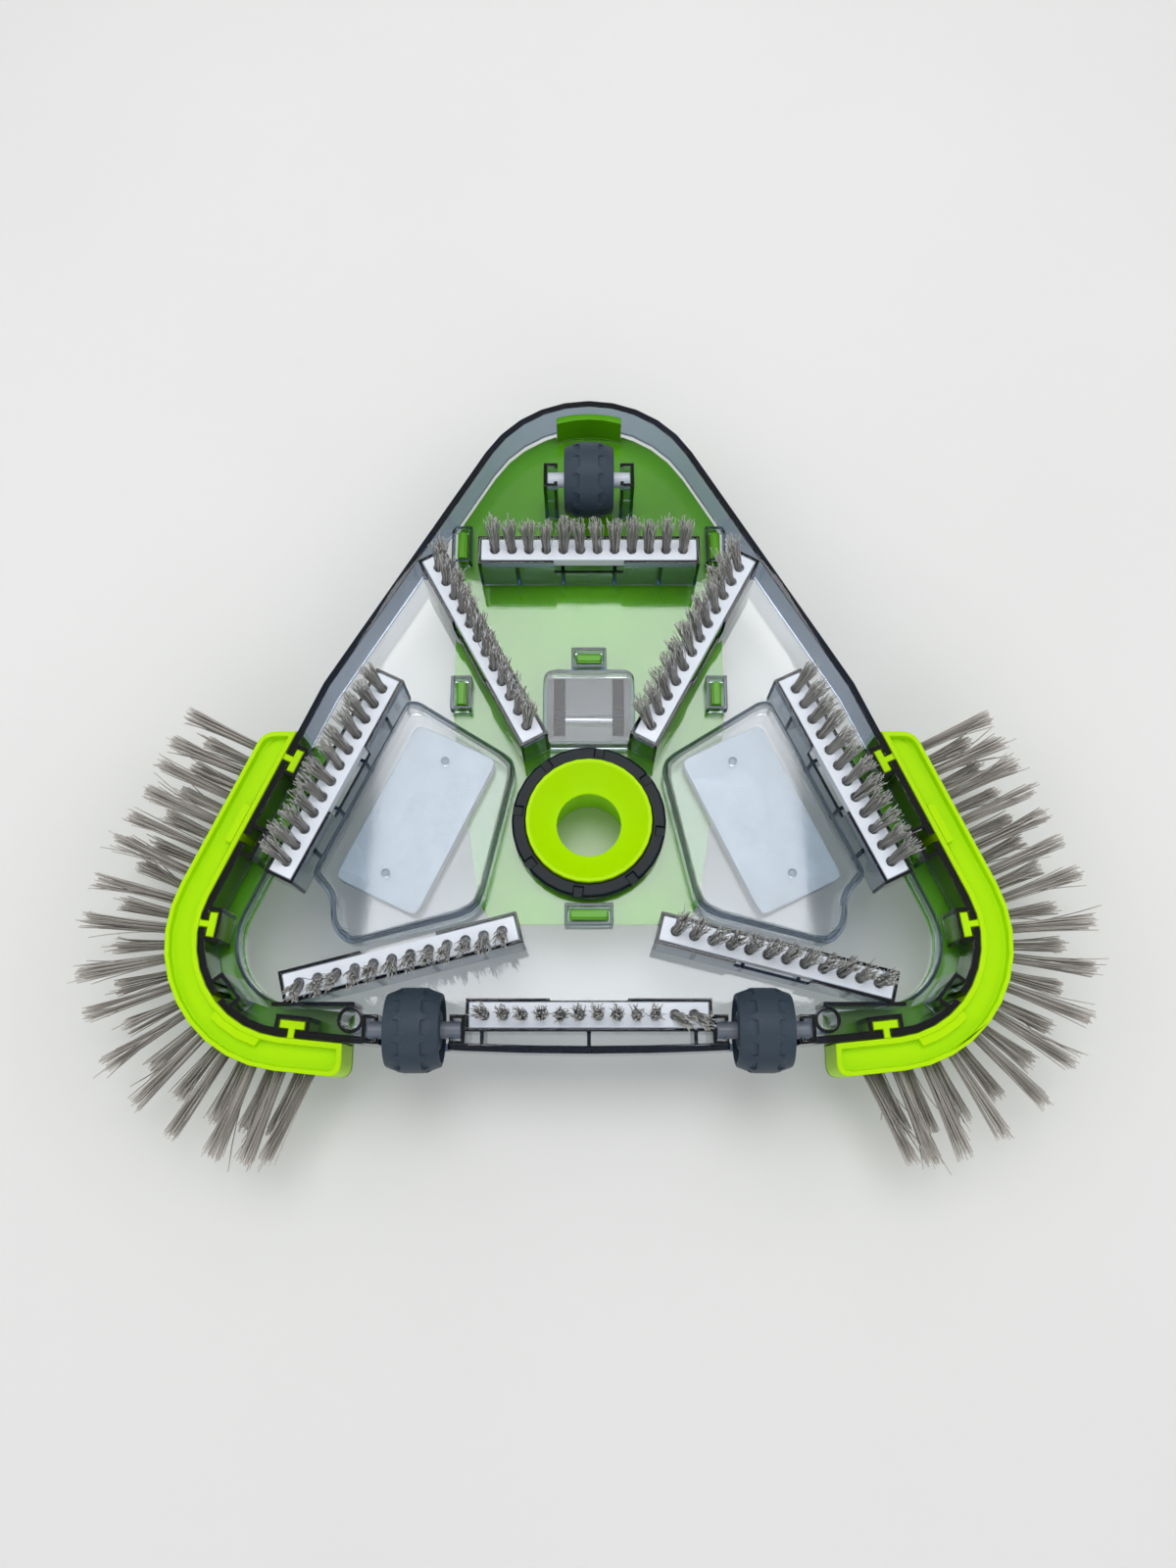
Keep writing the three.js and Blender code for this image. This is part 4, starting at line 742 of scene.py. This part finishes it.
ROOT_DEPTH = 2.5 * MM    # a tuft starts this far below the face that it leaves
FILAMENT_SHORT = 0.8     # mm: a tuft's mean reach ends this far below the CAD tuft's tip
LEAN_SPREAD = 0.9        # mm: each tuft's own share of the lean, at most
PRESSED_FROM, PRESSED_LEAN = 10, (4.5, -4.5, 0)
jitter = np.random.default_rng(12)
strip_tufts = []
for node, layout in layouts.items():
    name = node.replace("brush_strip_", "")
    for number, tip in enumerate(layout["tips"]):
        lean = Vector((*STRIP_LEANS[name], 0)) * MM
        if name == "front" and number >= PRESSED_FROM:
            lean += Vector(PRESSED_LEAN) * MM
        lean += Vector((*jitter.uniform(-LEAN_SPREAD, LEAN_SPREAD, 2), 0)) * MM
        root = Vector((tip.x, tip.y, layout["top"] - ROOT_DEPTH))
        way = tip + lean - root - Vector((0, 0, FILAMENT_SHORT)) * MM
        aim = way.normalized()
        across = aim.cross(Vector((0, 1, 0))).normalized()
        strip_tufts.append({"root": root, "aim": aim, "across": across, "reach": way.length})
strip_bristles = grown(
    "strip_bristles", tuft_points("strip_tufts", strip_tufts), tuft_tree,
    **{"Filaments": 46, "Thickness": 0.42 * MM, "Root Radius": 1.8 * MM, "Tip Radius": 3.6 * MM,
       "Stray": 3.0 * MM, "Crimp": 0.8 * MM, "Crimp Waves": 7.0, "Uneven": 0.07, "Material": strip_nylon},
)
stand_in("strip_bristles", strip_bristles, strip_nylon, "side_nylon", "head")

# %% [markdown]
# ## Corner brushes
# Each corner brush has two rows of longer, straighter tufts. Where they end and which way they point is
# read off the CAD solid: every tuft there ends in a small square face, and its normal is the tuft's aim.
# Faces of the backing strip that look alike are left out, because they face inward or lie between the rows.

# %% Tufts of the corner brushes
SQUARE_END = (12.3, 12.7)                 # area in square mm of a tuft's square end
ROWS = {"near": 38 * MM, "far": 26 * MM}  # length of a tuft outside the carrier
BETWEEN_ROWS = 2 * MM                     # nearer the middle height than this is no tuft
SWAY = 0.035                              # how far a tuft's aim turns at most, as a slope


def corner_tufts(node):
    ends = [
        (centre, normal, area) for centre, normal, area in flat_faces(node)
        if abs(normal.z) < 0.1 and centre.dot(normal) > 0 and SQUARE_END[0] < area < SQUARE_END[1]
    ]
    heights = [centre.z for centre, normal, area in ends]
    middle = (min(heights) + max(heights)) / 2
    tufts = []
    for centre, normal, area in ends:
        if abs(centre.z - middle) < BETWEEN_ROWS:
            continue
        row = "near" if centre.z > middle else "far"
        aim = normal.normalized()
        sway = Vector(jitter.uniform(-SWAY, SWAY, 3))
        root = centre - aim * (ROWS[row] + ROOT_DEPTH)
        tufts.append({
            "root": root, "aim": (aim + sway).normalized(),
            "across": aim.cross(Vector((0, 0, 1))).normalized(), "reach": ROWS[row] + ROOT_DEPTH,
        })
    print(node, len(tufts), "tufts")
    return tufts


for side in both:
    node = f"side_bristles_{side}"
    mesh = grown(
        node, tuft_points(node + "_tufts", corner_tufts(node)), tuft_tree,
        **{"Filaments": 38, "Thickness": 0.46 * MM, "Root Radius": 2.0 * MM, "Tip Radius": 3.4 * MM,
           "Bend": 0.9 * MM, "Stray": 7 * MM, "Crimp": 0.12 * MM, "Uneven": 0.06, "Sides": 4,
           "Sections": 6, "Seed": 20 if side == "left" else 40, "Material": side_nylon},
    )
    stand_in("fine_" + node, mesh, side_nylon, "side_nylon", node_body[node], node)

# %% [markdown]
# ## Rollers
# A roller is a barrel of hard rubber. Two rows of shallow rectangular pockets run round it as a tread. The
# barrel is turned from a profile, and Geometry Nodes sink the pockets: a ring of points, a rounded block
# on each, and a boolean.

# %% Geometry tree: tread pockets
tread_tree, w, given = geometry_tree("tread_pockets", {
    "Pockets": ("Int", 12),
    "Tread Radius": ("Float", 17 * MM),
    "Row Offset": ("Float", 6.1 * MM),
    "Length": ("Float", 6 * MM),
    "Width": ("Float", 3.8 * MM),
    "Depth": ("Float", 1.2 * MM),
    "Corner": ("Float", 0.9 * MM),
    "Material": ("Material",),
})
outline = w.add("GeometryNodeCurvePrimitiveQuadrilateral", {
    "Width": given["Width"], "Height": given["Length"],
})
rounded = w.add("GeometryNodeFilletCurve", {
    "Curve": outline.outputs[0], "Radius": given["Corner"], "Count": 3,
}, mode="POLY")
sole = w.add("GeometryNodeFillCurve", {"Curve": rounded.outputs[0]}, mode="NGONS").outputs[0]
tall = w.math("MULTIPLY", given["Depth"], 2.0)
raised = w.add("GeometryNodeExtrudeMesh", {"Mesh": sole, "Offset Scale": tall}).outputs[0]
under = w.add("GeometryNodeFlipFaces", {"Mesh": sole}).outputs[0]
whole = w.add("GeometryNodeJoinGeometry")
for part in (raised, under):
    w.tree.links.new(part, whole.inputs[0])
merged = w.add("GeometryNodeMergeByDistance", {"Geometry": whole.outputs[0], "Distance": 0.001 * MM})
block = merged.outputs[0]
sunken = w.add("ShaderNodeCombineXYZ", {2: w.math("MULTIPLY", given["Depth"], -1.0)}).outputs[0]
block = w.add("GeometryNodeTransform", {"Geometry": block, "Translation": sunken}).outputs[0]
circle = w.add("GeometryNodeMeshCircle", {"Vertices": given["Pockets"], "Radius": given["Tread Radius"]})
upright = {"Geometry": circle.outputs[0], "Rotation": (0.0, math.pi / 2, 0.0)}
hoop = w.add("GeometryNodeTransform", upright).outputs[0]
here = w.add("GeometryNodeInputPosition").outputs[0]
outward = w.add("FunctionNodeAlignRotationToVector", {"Vector": here}, axis="Z").outputs[0]
placing = {"Points": hoop, "Instance": block, "Rotation": outward}
ring_of = w.add("GeometryNodeInstanceOnPoints", placing).outputs[0]
rows = w.add("GeometryNodeJoinGeometry")
for direction in (-1.0, 1.0):
    shift = w.add("ShaderNodeCombineXYZ", {0: w.math("MULTIPLY", given["Row Offset"], direction)}).outputs[0]
    moved = w.add("GeometryNodeTransform", {"Geometry": ring_of, "Translation": shift}).outputs[0]
    w.tree.links.new(moved, rows.inputs[0])
pockets = w.add("GeometryNodeRealizeInstances", {0: rows.outputs[0]}).outputs[0]
sunk = w.add("GeometryNodeMeshBoolean", {
    "Mesh 1": given["Geometry"], "Mesh 2": pockets,
}, operation="DIFFERENCE")
finish_tree(w, sunk.outputs[0], given["Material"])

# %% Turn the barrel
def turned(profile, segments):
    """A closed profile of (distance from the axle, place along it) turned round the X axis."""
    bm = bmesh.new()
    rings = []
    for number in range(segments):
        angle = 2 * math.pi * number / segments
        rings.append([bm.verts.new((x, r * math.cos(angle), r * math.sin(angle))) for r, x in profile])
    for number, ring in enumerate(rings):
        following = rings[(number + 1) % segments]
        for i in range(len(profile)):
            j = (i + 1) % len(profile)
            bm.faces.new((ring[i], ring[j], following[j], following[i]))
    bmesh.ops.recalc_face_normals(bm, faces=bm.faces)
    return bm


def barrel_profile(radius, half, bore):
    """Half the roller's section from side to side: bore, hub, dished side, shoulder, tread."""
    side = [
        (bore, half - 0.6 * MM), (7.0 * MM, half - 0.6 * MM), (8.6 * MM, half - 2.2 * MM),
        (11.6 * MM, half - 2.2 * MM), (13.0 * MM, half), (14.6 * MM, half - 0.2 * MM),
        (radius - 1.0 * MM, half - 4.0 * MM), (radius, half - 6.0 * MM),
    ]
    return side + [(r, -x) for r, x in reversed(side)]


wheel_low, wheel_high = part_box("wheel_apex")
size = wheel_high - wheel_low
axle_low, axle_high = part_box("axle_apex")
BORE_GAP = 0.3 * MM
BARREL_SIDES = 72
bore = (axle_high.z - axle_low.z) / 2 + BORE_GAP
barrel = mesh_from("barrel", turned(barrel_profile(size.z / 2, size.x / 2, bore), BARREL_SIDES))
treaded = grown("barrel", barrel, tread_tree, **{"Tread Radius": size.z / 2, "Material": tread_rubber})
bm = bmesh.new()
bm.from_mesh(treaded)
roller_mesh = softened(bm, "roller", 0.3, steps=2, angle=32)
for node in [n for n in frame["nodes"] if n.startswith("wheel_")]:
    low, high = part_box(node)
    mesh = roller_mesh.copy()
    mesh.transform(Matrix.Translation((low + high) / 2))
    stand_in(node.replace("wheel", "roller"), mesh, tread_rubber, "roller_rubber", node_body[node], node)
